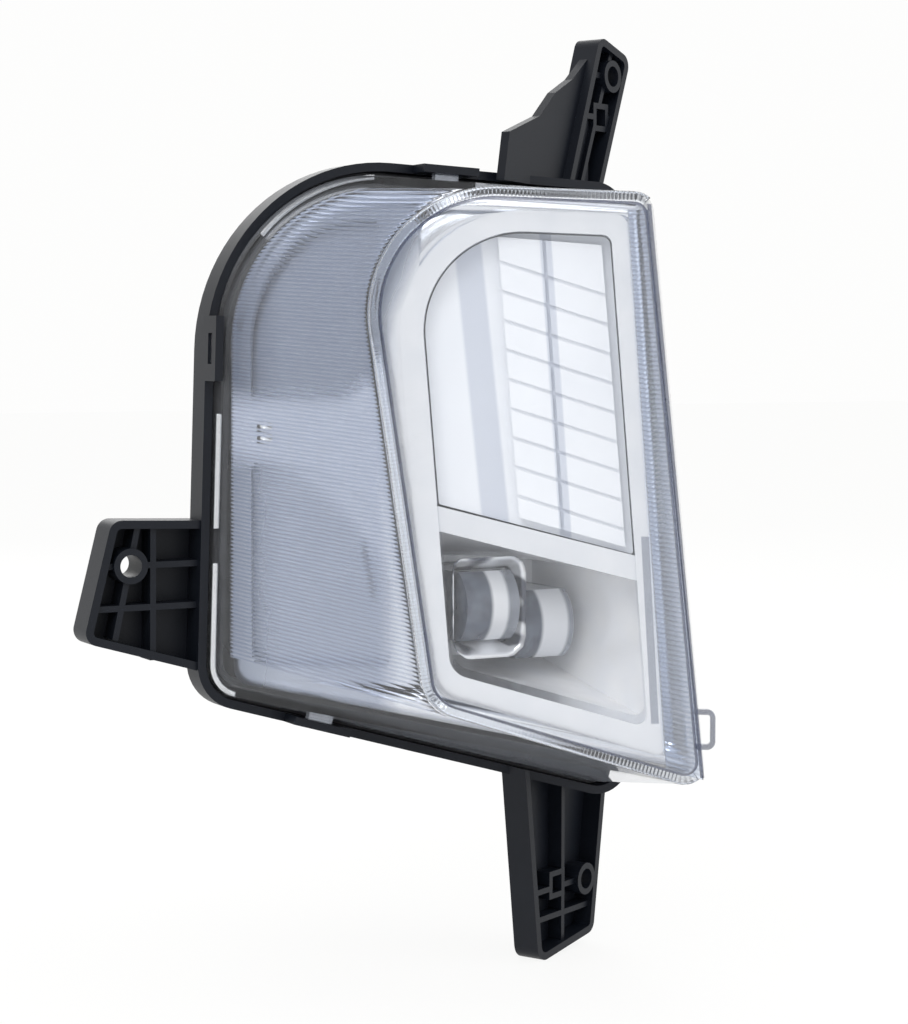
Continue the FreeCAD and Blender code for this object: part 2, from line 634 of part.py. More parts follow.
def inner_bezel():
    """Bright trim behind the face: frame ring, collar, crossbar, scooped wing and two studs."""
    body = new_body("bezel_front_part", face_frame())
    wing = sketch_on(body, "wing_outline", size("wing_front"))
    margin, tuck = size("wing_margin"), size("wing_tuck")
    left = FACE[3][0] + margin
    wing_points = [(left, FACE[0][1] + margin, FACE[0][2]), (RING[0][0] + margin, RING[0][1] + tuck, tuck),
                   (RING[3][0] + 2 * margin, RING[3][1] - tuck, tuck),
                   (left, FACE[3][1] - margin, FACE[3][2] - margin)]
    draw(wing, wing_points)
    pad(body, wing, "wing_pad", cell("wing_depth"))
    scoops(body, wing_points)
    ring = sketch_on(body, "ring_outline", size("bezel_front"))
    draw(ring, RING, "ring", "u")
    pad(body, ring, "ring_pad", cell("ring_depth"))
    mouth = sketch_on(body, "mouth_outline", size("bezel_front"))
    draw(mouth, MOUTH, "mouth", "u")
    pocket(body, mouth, "mouth_cut", size("wing_depth") + size("collar_depth"))
    collar = sketch_on(body, "collar_ring", size("bezel_front"))
    draw(collar, inset(MOUTH, -size("collar_wall")))
    draw(collar, MOUTH)
    pad(body, collar, "collar_pad", cell("collar_depth"))
    bar = sketch_on(body, "bar_outline", size("bar_front"))
    draw(bar, bar_outline(size("collar_wall") / 2))
    pad(body, bar, "bar_pad", cell("bar_depth"))
    return join("inner_bezel", [body] + [stud(index, place) for index, place in enumerate(STUDS)])


def bar_outline(overlap):
    """Corners of the crossbar, which runs into the collar at both ends by an overlap."""
    high = [size("bar_left_z"), size("bar_right_z")]
    low = [z - size("bar_height") for z in high]
    lefts = [side_at(MOUTH[3], MOUTH[0], z) - overlap for z in (low[0], high[0])]
    rights = [side_at(MOUTH[2], MOUTH[1], z) + overlap for z in (low[1], high[1])]
    return [(lefts[0], low[0], 0), (rights[0], low[1], 0), (rights[1], high[1], 0), (lefts[1], high[0], 0)]


def scoops(body, wing):
    """Two shallow hollows in the wing that leave a saddle between them."""
    edge = size("scoop_margin")
    left, right = wing[0][0] + edge, size("scoop_right")
    top = wing[2][1] - edge
    sweep_radius = (top - size("upper_scoop_z")) / 2
    upper = [(left, size("upper_scoop_z"), size("scoop_corner")), (right, size("upper_scoop_z"), sweep_radius / 2),
             (right, top, size("scoop_corner")), (left, top, wing[3][2] - 3 * edge)]
    low = wing[0][1] + edge
    bend = (size("lower_scoop_z") - low) / 2
    lower = [(left, low, wing[0][2] - edge), (right + edge, low, size("scoop_corner")),
             (right + edge, size("lower_scoop_z"), bend), (left, size("lower_scoop_z"), size("scoop_corner"))]
    sketch = sketch_on(body, "scoop_outlines", size("wing_front"))
    draw(sketch, upper)
    draw(sketch, lower)
    pocket(body, sketch, "scoop_cut", cell("scoop_depth"))


def stud(index, place):
    """A stud from the wing to its seat at the rear of the housing, bored for a screw."""
    x, z = place
    start = on_face(x, size("wing_front") + (size("scoop_depth") + size("wing_depth")) / 2)
    post = doc.addObject("Part::Cylinder", f"stud_{index}_post")
    post.setExpression("Radius", cell("stud_radius"))
    post.Height = size("stud_end") - start
    upright = Rotation(Vector(1, 0, 0), -90)
    post.Placement = Placement(Vector(x, start, z) - origin_point(), upright)
    hole = doc.addObject("Part::Cylinder", f"stud_{index}_hole")
    hole.setExpression("Radius", cell("screw_hole_radius"))
    hole.setExpression("Height", cell("stud_bore_depth"))
    deep = size("stud_end") - size("stud_bore_depth")
    hole.Placement = Placement(Vector(x, deep, z) - origin_point(), upright)
    cut = doc.addObject("Part::Cut", f"stud_{index}")
    cut.Base = post
    cut.Tool = hole
    doc.recompute()
    return cut


def drl_outline():
    """The part of the bezel's mouth above the crossbar, less the fit."""
    low_left, low_right = size("bar_left_z"), size("bar_right_z")
    points = [(side_at(MOUTH[3], MOUTH[0], low_left), low_left, 1),
              (side_at(MOUTH[2], MOUTH[1], low_right), low_right, 1), MOUTH[2], MOUTH[3]]
    return inset(points, size("fit_gap"))


def drl_lens():
    """Inner lens of the daytime light: a plate with a raised block cut by sloping grooves."""
    points = drl_outline()
    front = size("drl_front")
    body = plate("drl_lens", points, front, cell("drl_plate"), face_frame())
    left = size("drl_block_left")
    edge = size("drl_block_margin")
    top_left = (points[3][0] + left, points[3][1] - edge, 0)
    low_left = points[0][0] + left
    block = [(low_left, height_at(points[0], points[1], low_left) + edge, 0),
             (points[1][0] - edge, points[1][1] + edge, 0),
             (points[2][0] - edge, points[2][1] - edge, 0), top_left]
    raised = sketch_on(body, "drl_block", front)
    draw(raised, block)
    pad(body, raised, "drl_block_pad", cell("drl_block_rise"), rearward=False)
    face = front - size("drl_block_rise")
    grooves = sketch_on(body, "drl_grooves", face)
    fall = math.tan(math.radians(size("drl_groove_slope")))
    for index in range(int(size("drl_groove_count"))):
        z = size("drl_groove_first") + size("drl_groove_pitch") * index
        start = side_at(block[3], block[0], z) - edge
        run = block[2][0] - block[3][0] + 2 * edge
        ends = ((start, z + fall * run / 2), (start + run, z - fall * run / 2))
        draw(grooves, bar_points(*ends, size("drl_groove_width")))
    pocket(body, grooves, "drl_groove_cut", cell("drl_groove_depth"))
    seam = sketch_on(body, "drl_seam", face)
    offset = size("drl_seam_offset")
    reach = size("drl_seam_reach")
    draw(seam, bar_points((block[0][0] + offset, block[0][1] - reach), (block[3][0] + offset, block[3][1] + reach),
                          size("drl_seam_width")))
    pocket(body, seam, "drl_seam_cut", cell("drl_seam_depth"))
    return body


def drl_light_box():
    """White frame that carries the light from the board to the inner lens."""
    points = inset(drl_outline(), size("box_inset"))
    front = size("drl_front") + size("drl_plate")
    hole = inset(points, size("box_wall"))
    return plate("drl_light_box", points, front, cell("box_depth"), face_frame(), [hole])


def drl_board_front():
    return size("drl_front") + size("drl_plate") + size("box_depth")


def drl_board():
    """Circuit board that closes the rear of the light box."""
    points = inset(drl_outline(), size("box_inset"))
    return plate("drl_board", points, drl_board_front(), cell("board_thick"), face_frame())


def chips(label, centres, front, placement=None):
    """Square emitter packages as one group, standing forward of their board."""
    half = size("chip_size") / 2
    first, *others = [rectangle(x - half, x + half, z - half, z + half, 0) for x, z in centres]
    body = new_body(label, placement)
    sketch = sketch_on(body, f"{label}_outline", front)
    for points in [first] + others:
        draw(sketch, points)
    pad(body, sketch, f"{label}_pad", cell("chip_height"), rearward=False)
    return body


def drl_leds():
    """Two columns of emitters on the daytime light's board."""
    rows = range(int(size("drl_chip_rows")))
    heights = [size("drl_chip_first") + size("drl_chip_pitch") * row for row in rows]
    centres = [(size(column), z) for column in ("drl_chip_left", "drl_chip_right") for z in heights]
    return chips("drl_leds", centres, drl_board_front(), face_frame())


def dish_mouth():
    """The part of the bezel's mouth below the crossbar, with crisp corners."""
    bar = bar_outline(0)
    return [(*corner[:2], 0) for corner in (MOUTH[0], MOUTH[1], bar[1], bar[0])]


def fog_reflector():
    """Bright bowl lofted from the swept collar to a square rear wall with two apertures."""
    body = new_body("fog_reflector")
    wall = size("reflector_wall")
    rim_plane = swept_plane(size("bezel_front") + size("collar_depth"))
    dish = outline("dish", "x")
    rim = sketch_on(body, "dish_rim", turned=rim_plane)
    draw(rim, inset(dish_mouth(), -wall))
    back = sketch_on(body, "dish_back", size("reflector_back"))
    draw(back, dish, "dish")
    loft(body, "dish_block", rim, back)
    mouth = sketch_on(body, "dish_hollow_rim", turned=rim_plane)
    draw(mouth, dish_mouth())
    floor = sketch_on(body, "dish_floor", size("reflector_back") - wall)
    draw(floor, inset(dish, wall))
    loft(body, "dish_hollow", mouth, floor, additive=False)
    windows = sketch_on(body, "optic_windows", size("reflector_back") - wall)
    for name in ("fog", "corner"):
        draw(windows, inset(optic_outline(name), -size("optic_gap")))
    pocket(body, windows, "optic_window_cut", wall)
    return body


def optic_outline(name):
    x, z = size(f"{name}_optic_x"), size(f"{name}_optic_z")
    half, tall = size("optic_width") / 2, size("optic_height") / 2
    return rectangle(x - half, x + half, z - tall, z + tall, size("optic_corner"))


def optic(label, name):
    """A clear block with a crowned front, its straight back close before the emitters."""
    body = new_body(label)
    x, z = size(f"{name}_optic_x"), size(f"{name}_optic_z")
    tall = size("optic_height") / 2
    tip = size(f"{name}_optic_front")
    shoulder = tip + size("optic_crown")
    back = size("reflector_back") - size("chip_height") - size("optic_gap")
    start = x - size("optic_width") / 2
    profile = sketch_on(body, f"{label}_profile", -start, "YZ_Plane")
    corners = [Vector(back, z - tall), Vector(shoulder, z - tall), Vector(shoulder, z + tall), Vector(back, z + tall)]
    profile.addGeometry(Part.LineSegment(corners[0], corners[1]), False)
    profile.addGeometry(Part.Arc(corners[1], Vector(tip, z), corners[2]), False)
    profile.addGeometry(Part.LineSegment(corners[2], corners[3]), False)
    profile.addGeometry(Part.LineSegment(corners[3], corners[0]), False)
    pad(body, profile, f"{label}_pad", cell("optic_width"), rearward=False)
    return body


def fog_board():
    """Metal-core board behind the bowl, on the cooling block."""
    points = inset(SINK, size("fog_board_margin"))
    return plate("fog_board", points, size("reflector_back"), cell("board_thick"))


def fog_leds():
    """One emitter behind each clear block."""
    centres = [(size(f"{name}_optic_x"), size(f"{name}_optic_z")) for name in ("fog", "corner")]
    return chips("fog_leds", centres, size("reflector_back"))


def pad_front():
    return size("reflector_back") + size("board_thick")


def thermal_pad():
    """Soft sheet between the board and the cooling block."""
    points = inset(SINK, size("fog_board_margin"))
    return plate("thermal_pad", points, pad_front(), cell("pad_thick"))


def heat_sink():
    """Cast cooling block: a cup from the board to the rear wall, a lip outside it, and fins."""
    body = new_body("heat_sink")
    start = pad_front() + size("pad_thick")
    back = LIP_FACE + size("sink_plate")
    block = sketch_on(body, "sink_block", start)
    draw(block, SINK)
    pad(body, block, "sink_block_pad", back - start)
    lip = sketch_on(body, "sink_lip_outline", LIP_FACE)
    draw(lip, inset(SINK, -size("sink_lip")))
    pad(body, lip, "sink_lip_pad", cell("sink_plate"))
    hollow = sketch_on(body, "sink_hollow", start + size("sink_face"))
    draw(hollow, inset(SINK, size("sink_wall")))
    pocket(body, hollow, "sink_hollow_cut", back - start - size("sink_face"))
    fins = sketch_on(body, "sink_fins", start + size("sink_face") - size("fin_root"))
    left, right = SINK[0][0] + size("sink_wall"), SINK[1][0] - size("sink_wall")
    gap = (right - left) / (size("fin_count") + 1)
    half = size("fin_thick") / 2
    low, high = SINK[0][1] + size("sink_wall") / 2, SINK[2][1] - size("sink_wall") / 2
    for index in range(int(size("fin_count"))):
        middle = left + gap * (index + 1)
        draw(fins, rectangle(middle - half, middle + half, low, high, 0))
    pad(body, fins, "sink_fin_pad", back - start - size("sink_face") + size("fin_root") + size("fin_height"))
    holes = circles(body, "sink_holes", lip_screws(SINK), "screw_hole_radius", LIP_FACE)
    pocket(body, holes, "sink_hole_cut", cell("sink_plate"))
    return body


def gasket(label, opening, gap):
    """Rubber ring on the rear wall, just outside an opening."""
    inner = inset(opening, -gap)
    outer = inset(inner, -size("gasket_band"))
    return plate(label, outer, REAR_FACE, cell("gasket_thick"), None, [inner])


def screws(label, centres, seat):
    """Pan-head screws driven forward from one seat plane, as one group."""
    body = new_body(label)
    shank = circles(body, f"{label}_shank", centres, "screw_radius", seat)
    pad(body, shank, f"{label}_shank_pad", cell("screw_length"), rearward=False)
    head = circles(body, f"{label}_head", centres, "screw_head_radius", seat)
    pad(body, head, f"{label}_head_pad", cell("screw_head_height"))
    return body


def driver_cover():
    """Domed cover over the driver bay, with a screwed lip."""
    body = plate("driver_cover", inset(BAY, -size("cover_lip")), LIP_FACE, cell("cover_plate"))
    dome = sketch_on(body, "cover_dome", LIP_FACE)
    draw(dome, BAY)
    pad(body, dome, "cover_dome_pad", cell("cover_height"))
    hollow = sketch_on(body, "cover_hollow", LIP_FACE)
    draw(hollow, inset(BAY, size("cover_wall")))
    pocket(body, hollow, "cover_hollow_cut", size("cover_height") - size("cover_wall"))
    holes = circles(body, "cover_holes", lip_screws(BAY), "screw_hole_radius", LIP_FACE)
    pocket(body, holes, "cover_hole_cut", cell("cover_plate"))
    return body


def driver_board():
    """Driver electronics board, held by the cover's walls."""
    points = inset(BAY, size("cover_wall") + size("fit_gap"))
    return plate("driver_board", points, LIP_FACE + size("cover_plate"), cell("board_thick"))


def plug_outline():
    half, tall = size("plug_width") / 2, size("plug_high") / 2
    x, z = size("plug_x"), size("plug_z")
    return rectangle(x - half, x + half, z - tall, z + tall, size("plug_corner"))


def connector_socket():
    """Open shroud on the cover that takes the car's plug."""
    face = LIP_FACE + size("cover_height")
    body = plate("connector_socket", plug_outline(), face, cell("plug_length"))
    hollow = sketch_on(body, "plug_hollow", face + size("plug_floor"))
    draw(hollow, inset(plug_outline(), size("plug_wall")))
    pocket(body, hollow, "plug_hollow_cut", size("plug_length") - size("plug_floor"))
    return body


def connector_pins():
    """Square contacts on the socket's floor, as one group."""
    body = new_body("connector_pins")
    sketch = sketch_on(body, "pin_outlines", LIP_FACE + size("cover_height") + size("plug_floor"))
    count = int(size("pin_count"))
    half = size("pin_size") / 2
    for index in range(count):
        x = size("plug_x") + size("pin_pitch") * (index - (count - 1) / 2)
        draw(sketch, rectangle(x - half, x + half, size("plug_z") - half, size("plug_z") + half, 0))
    pad(body, sketch, "pin_pad", cell("pin_length"))
    return body


def vent_cap():
    """Breather cap with a neck through the rear wall."""
    body = new_body("vent_cap")
    centre = [(size("vent_x"), size("vent_z"))]
    cap = circles(body, "vent_cap_outline", centre, "vent_radius", REAR_FACE)
    pad(body, cap, "vent_cap_pad", cell("vent_height"))
    neck = circles(body, "vent_neck_outline", centre, "vent_neck", INNER_REAR)
    pad(body, neck, "vent_neck_pad", cell("bowl_wall"))
    return body


def build():
    """Every piece of the lamp, in the order of assembly."""
    return [
        housing(), outer_lens(), lens_seal(), inner_bezel(),
        drl_lens(), drl_light_box(), drl_board(), drl_leds(),
        fog_reflector(), optic("fog_lens", "fog"), optic("cornering_lens", "corner"),
        fog_board(), fog_leds(), thermal_pad(), heat_sink(),
        gasket("heat_sink_gasket", SINK, size("sink_gap")),
        screws("heat_sink_screws", lip_screws(SINK), LIP_FACE + size("sink_plate")),
        driver_cover(), gasket("driver_gasket", BAY, 0), driver_board(),
        connector_socket(), connector_pins(),
        screws("cover_screws", lip_screws(BAY), LIP_FACE + size("cover_plate")),
        screws("bezel_screws", STUDS, REAR_FACE), vent_cap(),
    ]


def check(pieces):
    """Stops on any failed object or bad solid."""
    doc.recompute()
    failed = [item.Name for item in doc.Objects if "Invalid" in item.State or "Error" in item.State]
    if failed:
        raise ValueError(f"failed objects: {failed}")
    for piece in pieces:
        if piece.Shape.isNull() or not piece.Shape.isValid() or not piece.Shape.Solids:
            raise ValueError(f"{piece.Label} is not a valid solid")


def export(pieces):
    os.makedirs("parts", exist_ok=True)
    for piece in pieces:
        piece.Shape.exportStep(f"parts/{piece.Label}.step")


PIECES = build()
check(PIECES)
export(PIECES)
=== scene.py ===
"""Looks of an auxiliary driving light: the CAD pieces get their finishes, the clear cover gets its moulded
flutes and ticks and its edges drawn as sheets of painted reflection, and the bezel and the fog optic get their
thin trim. Metres, in the row frame.

The face frame is swept back about Z: u runs along the clear face to the right, d is the depth
behind it. A point of it lies at x = X0 + u cos a + d sin a, y = Y0 - u sin a + d cos a, z = z.
"""
import json
import math

import bpy
import numpy as np
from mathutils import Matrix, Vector


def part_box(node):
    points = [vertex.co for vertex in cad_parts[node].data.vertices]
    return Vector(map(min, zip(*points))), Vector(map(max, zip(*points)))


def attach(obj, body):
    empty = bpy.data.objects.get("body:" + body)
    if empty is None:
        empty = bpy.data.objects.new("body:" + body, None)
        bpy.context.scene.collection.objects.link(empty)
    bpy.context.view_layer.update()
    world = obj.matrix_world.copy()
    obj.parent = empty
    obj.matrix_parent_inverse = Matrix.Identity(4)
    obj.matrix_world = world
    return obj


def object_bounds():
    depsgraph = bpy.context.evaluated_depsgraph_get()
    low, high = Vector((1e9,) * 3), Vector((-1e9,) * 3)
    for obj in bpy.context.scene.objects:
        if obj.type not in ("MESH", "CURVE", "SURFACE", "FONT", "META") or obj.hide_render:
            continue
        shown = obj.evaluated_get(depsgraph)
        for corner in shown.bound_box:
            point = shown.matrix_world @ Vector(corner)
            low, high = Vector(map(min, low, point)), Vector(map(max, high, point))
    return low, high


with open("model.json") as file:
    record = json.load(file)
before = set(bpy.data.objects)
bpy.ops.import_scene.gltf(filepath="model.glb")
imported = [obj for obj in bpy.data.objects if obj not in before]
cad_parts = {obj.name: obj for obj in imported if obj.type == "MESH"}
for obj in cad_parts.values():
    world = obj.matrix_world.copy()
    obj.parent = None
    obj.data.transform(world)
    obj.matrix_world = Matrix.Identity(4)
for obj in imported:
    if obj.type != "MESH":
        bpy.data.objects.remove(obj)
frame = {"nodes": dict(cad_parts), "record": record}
CAD_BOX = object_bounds()

bl_info = {
    "name": "Auxiliary driving light",
    "version": (1, 0, 0),
    "blender": (4, 5, 0),
    "location": "View3D > Sidebar > Driving light",
    "description": "Finishes, cover flutes and studio for an auxiliary driving light",
    "category": "Object",
}

MM = 0.001
SWEEP = math.radians(30)
FACE_ORIGIN = (29.3, -7.0, 14.0)
ALONG_FACE = (math.cos(SWEEP), -math.sin(SWEEP), 0.0)
BEHIND_FACE = (math.sin(SWEEP), math.cos(SWEEP), 0.0)
UP = (0.0, 0.0, 1.0)

# Corners in millimetres, across, up and corner radius: the flange in row x and z, then in face u and z the
# clear face, the bezel ring, the edges of its wing and skirt, the locating loop and the raised window
FLANGE = ((19.7, -40.5, 14), (170.7, -84.5, 12), (167.7, 115, 12), (25.2, 121.5, 58))
FACE = ((-4.5, -52.5, 8), (138.3, -79.5, 5), (121.5, 93, 5), (-3, 102, 48))
RING = ((56.5, -53, 9), (127, -72, 3), (114.5, 88, 4), (45, 91, 36))
WING_EDGE = ((3, -45, 6), (130, -69, 4), (116, 87, 4), (5, 92, 42))
TRIM_EDGE = ((53, -56.5, 9), (130, -75, 3), (117.3, 91, 4), (37, 94.5, 31))
LOOP = ((132.2, -69, 2.5), (141.2, -69, 2.5), (141.2, -57, 2.5), (132.2, -57, 2.5))
WINDOW = ((58.5, -54.5, 10), (136.3, -77.2, 4), (119.8, 91, 4), (37, 94.5, 34))

# The cover's relief in millimetres: where it sits, its thickness under the flutes and the ticks, and the
# distance from the fan's pole at which the flutes have their pitch
COVER_WALL = 2.6
RELIEF_SEAT = COVER_WALL + 0.02
FLUTE_BASE = 0.25
TICK_BASE = 0.2
TICK_RELIEF = 0.3
PITCH_REACH = 560.0

# The fluted strip at the cover's right: its left and right sides, and the points of its lowest and highest ray
STRIP_LEFT = ((114.5, 89.0), (126.5, -74.0))
STRIP_RIGHT = ((120.4, 89.0), (137.2, -74.0))
STRIP_ENDS = ((132.0, -76.0), (117.0, 89.0))

# Depths behind the face: the window's bevel and its sheet, the right edge and the loop, all three drawn in
# painted reflection, the bezel's skirt and the wing's border with their sheet, and the pins
BEVEL_DEPTH = (-1.7, -0.2)
BEVEL_SHEET = 0.15
EDGE_DEPTH = (0.4, 2.2)
LOOP_DEPTH = (5.1, 6.9)
SKIRT_DEPTH = (10.6, 12.4)
BORDER_DEPTHS = (9.4, 9.4, 9.6, 10.4)
TRIM_SHEET = 0.8
PIN_DEPTH = (7.6, 9.1)

# The cover's right edge, a sheet of painted reflection: its ends in height, where its band begins at the top,
# its lean and its width
EDGE_HEIGHTS = (-76.5, 90.5)
EDGE_START = 120.1
EDGE_LEAN = 0.0985
EDGE_WIDTH = 1.1
LOOP_ROOT = 135.0

# The two pins of the wing: their span along the face, their lower sides and their height
PIN_SPAN = (6.0, 10.3)
PIN_LOWS = (21.6, 25.0)
PIN_HEIGHT = 1.5

# The painted highlight in the cover's foot: bright strips between pairs of points of the flange, and their
# front and back in row y
FOOT_HIGHLIGHTS = (((36, 100), (78, 114)), ((112, 116), (150, 112)), ((21, 44), (20, 10)), ((20, 0), (30, -46)))
FOOT_DEPTH = (-1.9, -1.2)

# The cup round the main fog optic: its fit, its reach past the optic and its depths behind the optic's front
CUP_FIT = 0.4
CUP_LEFT = 3.9
CUP_RIGHT = 3.0
CUP_UNDER = 5.0
CUP_OVER = 4.6
CUP_DEPTH = (9.0, 1.5)

# The painted shade of the wing's scoops: where the upper one bends up, how both bend, and where the
# wing's right edge leans
UPPER_BEND_FROM = 28.0
UPPER_BEND = 0.06
LOWER_BEND = 0.0172
WING_LEAN_FROM = 58.0
WING_LEAN = 0.43

# Noise scales, per metre, of the metallised trim's clouds and waves
TRIM_CLOUD = 90.0
TRIM_WAVE = 140.0

# Floor's half side in metres, the white that the camera sees, and the lamps: place, side and share of the key
FLOOR_REACH = 6.0
SEEN_WHITE = 0.985
LAMPS = (("key", (-0.9, -0.9, 1.1), 0.9, 1.0), ("fill", (1.2, -0.8, 0.5), 1.0, 0.6),
         ("top", (0.1, 0.2, 1.4), 1.0, 0.5), ("back", (0.3, 1.3, 0.7), 0.9, 0.5))


def length(title, text, value):
    """A length that a user may change."""
    return bpy.props.FloatProperty(name=title, description=text, default=value, unit="LENGTH")


def colour(title, text, *value):
    """A colour that a user may change."""
    return bpy.props.FloatVectorProperty(name=title, description=text, default=value, min=0.0, max=1.0,
                                         subtype="COLOR")


class CoverSettings(bpy.types.PropertyGroup):
    """Moulded relief on the inner side of the clear cover."""

    pole_u: length("Fan pole u", "Where the flutes would meet, along the face", -0.51)
    pole_z: length("Fan pole height", "Height of the point where the flutes would meet", 0.097)
    pitch: length("Flute pitch", "Distance between flutes at mid face", 0.0012)
    relief: length("Flute relief", "Height of a flute above its groove", 0.00024)
    tick_pitch: length("Tick pitch", "Distance between ticks round the window", 0.0011)
    tick_width: length("Tick band width", "Width of the tick band round the window", 0.0032)


class FinishSettings(bpy.types.PropertyGroup):
    """Colours of the finishes that show most."""

    plastic_dark: colour("Plastic, dark", "Darker shade of the black plastic", 0.004, 0.0057, 0.0098)
    plastic_light: colour("Plastic, light", "Lighter shade of the black plastic", 0.0075, 0.0094, 0.0145)
    cover_tint: colour("Cover", "Tint of the clear cover's skin", 0.9, 0.92, 0.96)
    # Painted shade of the clear cover's sides
    side_painted_shade: colour("Cover side", "Tint of the clear cover's sides", 0.46, 0.5, 0.58)
    # Painted shade towards the grooves of the flutes and of the right strip
    flute_groove_shade: colour("Flute groove", "What a groove lets through", 0.66, 0.7, 0.79)
    flute_crest: colour("Flute crest", "What a crest lets through", 0.97, 0.98, 1.0)
    strip_groove_shade: colour("Strip groove", "What a groove of the right strip lets through", 0.54, 0.59, 0.69)
    strip_crest: colour("Strip crest", "What a crest of the right strip lets through", 0.8, 0.85, 0.94)
    # Painted reflection caught in the cover's edges
    edge_dark: colour("Edge, dark", "Darker shade of the cover's edges", 0.02, 0.028, 0.07)
    edge_light: colour("Edge, light", "Lighter shade of the cover's edges", 0.06, 0.08, 0.16)
    trim_dark: colour("Trim, dark", "Darker shade of the bezel", 0.7, 0.73, 0.79)
    trim_light: colour("Trim, light", "Lighter shade of the bezel", 0.82, 0.84, 0.88)
    wing_tone: colour("Wing", "Shade of the bezel's wing", 0.53, 0.575, 0.675)
    # Painted shade laid in the wing's scoops, slit and slot
    scoop_painted_shade: colour("Scoop", "Shade of the wing's scoops", 0.13, 0.16, 0.23)
    bowl_light: colour("Bowl, light", "Lighter shade of the bowl", 0.98, 0.985, 0.995)
    # Painted shade towards the edges of the bowl's facets
    bowl_shade: colour("Bowl, shade", "Darker shade of the bowl", 0.9, 0.92, 0.96)
    optic_dark: colour("Daytime optic, dark", "Darker shade of the daytime optic", 0.72, 0.75, 0.805)
    optic_light: colour("Daytime optic, light", "Lighter shade of the daytime optic", 0.81, 0.835, 0.88)
    # Painted shade in the daytime optic's bands
    optic_band_shade: colour("Daytime optic, bands", "Shade of the daytime optic's bands", 0.5, 0.54, 0.63)


class StageSettings(bpy.types.PropertyGroup):
    """Camera and light."""

    azimuth: bpy.props.FloatProperty(name="Azimuth", description="Camera direction round the lamp",
                                     default=math.radians(-28), subtype="ANGLE")
    elevation: bpy.props.FloatProperty(name="Elevation", description="Camera direction above the horizon",
                                       default=math.radians(4), subtype="ANGLE")
    distance: length("Distance", "From camera to target", 0.72)
    focal: bpy.props.FloatProperty(name="Focal length", description="Camera focal length in mm on a 36 mm side",
                                   default=84.375)
    target: bpy.props.FloatVectorProperty(name="Target", description="Point at the picture's centre",
                                          default=(0.0947, -0.021, 0.014), subtype="TRANSLATION")
    key: bpy.props.FloatProperty(name="Key light", description="Power of the key light", default=9.0, unit="POWER")
    sky: bpy.props.FloatProperty(name="Sky", description="Strength of the surrounding light", default=0.7)


class Value:
    """A number socket of a node tree; arithmetic on it adds Math nodes."""

    def __init__(self, nodes, socket):
        self.nodes = nodes
        self.socket = socket

    def maths(self, operation, *others):
        found = self.nodes.node("ShaderNodeMath", {"operation": operation}, dict(enumerate((self,) + others)))
        return Value(self.nodes, found.outputs[0])

    def __add__(self, other):
        return self.maths("ADD", other)

    def __mul__(self, other):
        return self.maths("MULTIPLY", other)

    def __pow__(self, other):
        return self.maths("POWER", other)

    def __sub__(self, other):
        return self.maths("SUBTRACT", other)

    def __rsub__(self, other):
        return (self * -1.0) + other

    __radd__ = __add__
    __rmul__ = __mul__


class Nodes:
    """A node tree, and the one way to add nodes to it."""

    def __init__(self, tree):
        self.tree = tree

    def node(self, kind, settings=None, inputs=None):
        """Adds a node, sets its settings first, then gives its sockets values or links."""
        made = self.tree.nodes.new(kind)
        for name, value in (settings or {}).items():
            setattr(made, name, value)
        self.feed(made, inputs or {})
        return made

    def feed(self, node, inputs):
        """Gives a node's sockets values or links."""
        for name, value in inputs.items():
            if isinstance(value, Value):
                value = value.socket
            if isinstance(value, bpy.types.NodeSocket):
                self.tree.links.new(value, node.inputs[name])
            else:
                node.inputs[name].default_value = value

    def between(self, value, start, stop, low=0.0, high=1.0):
        """From low to high as a value runs from start to stop, held between them."""
        found = self.node("ShaderNodeMapRange", None, {"Value": value, "From Min": start, "From Max": stop,
                                                       "To Min": low, "To Max": high})
        return Value(self, found.outputs[0])

    def seen(self):
        """At least 1 for a ray from the camera, from gloss or through glass, else 0."""
        path = self.node("ShaderNodeLightPath").outputs
        direct = Value(self, path["Is Camera Ray"])
        return direct + Value(self, path["Is Glossy Ray"]) + Value(self, path["Is Transmission Ray"])


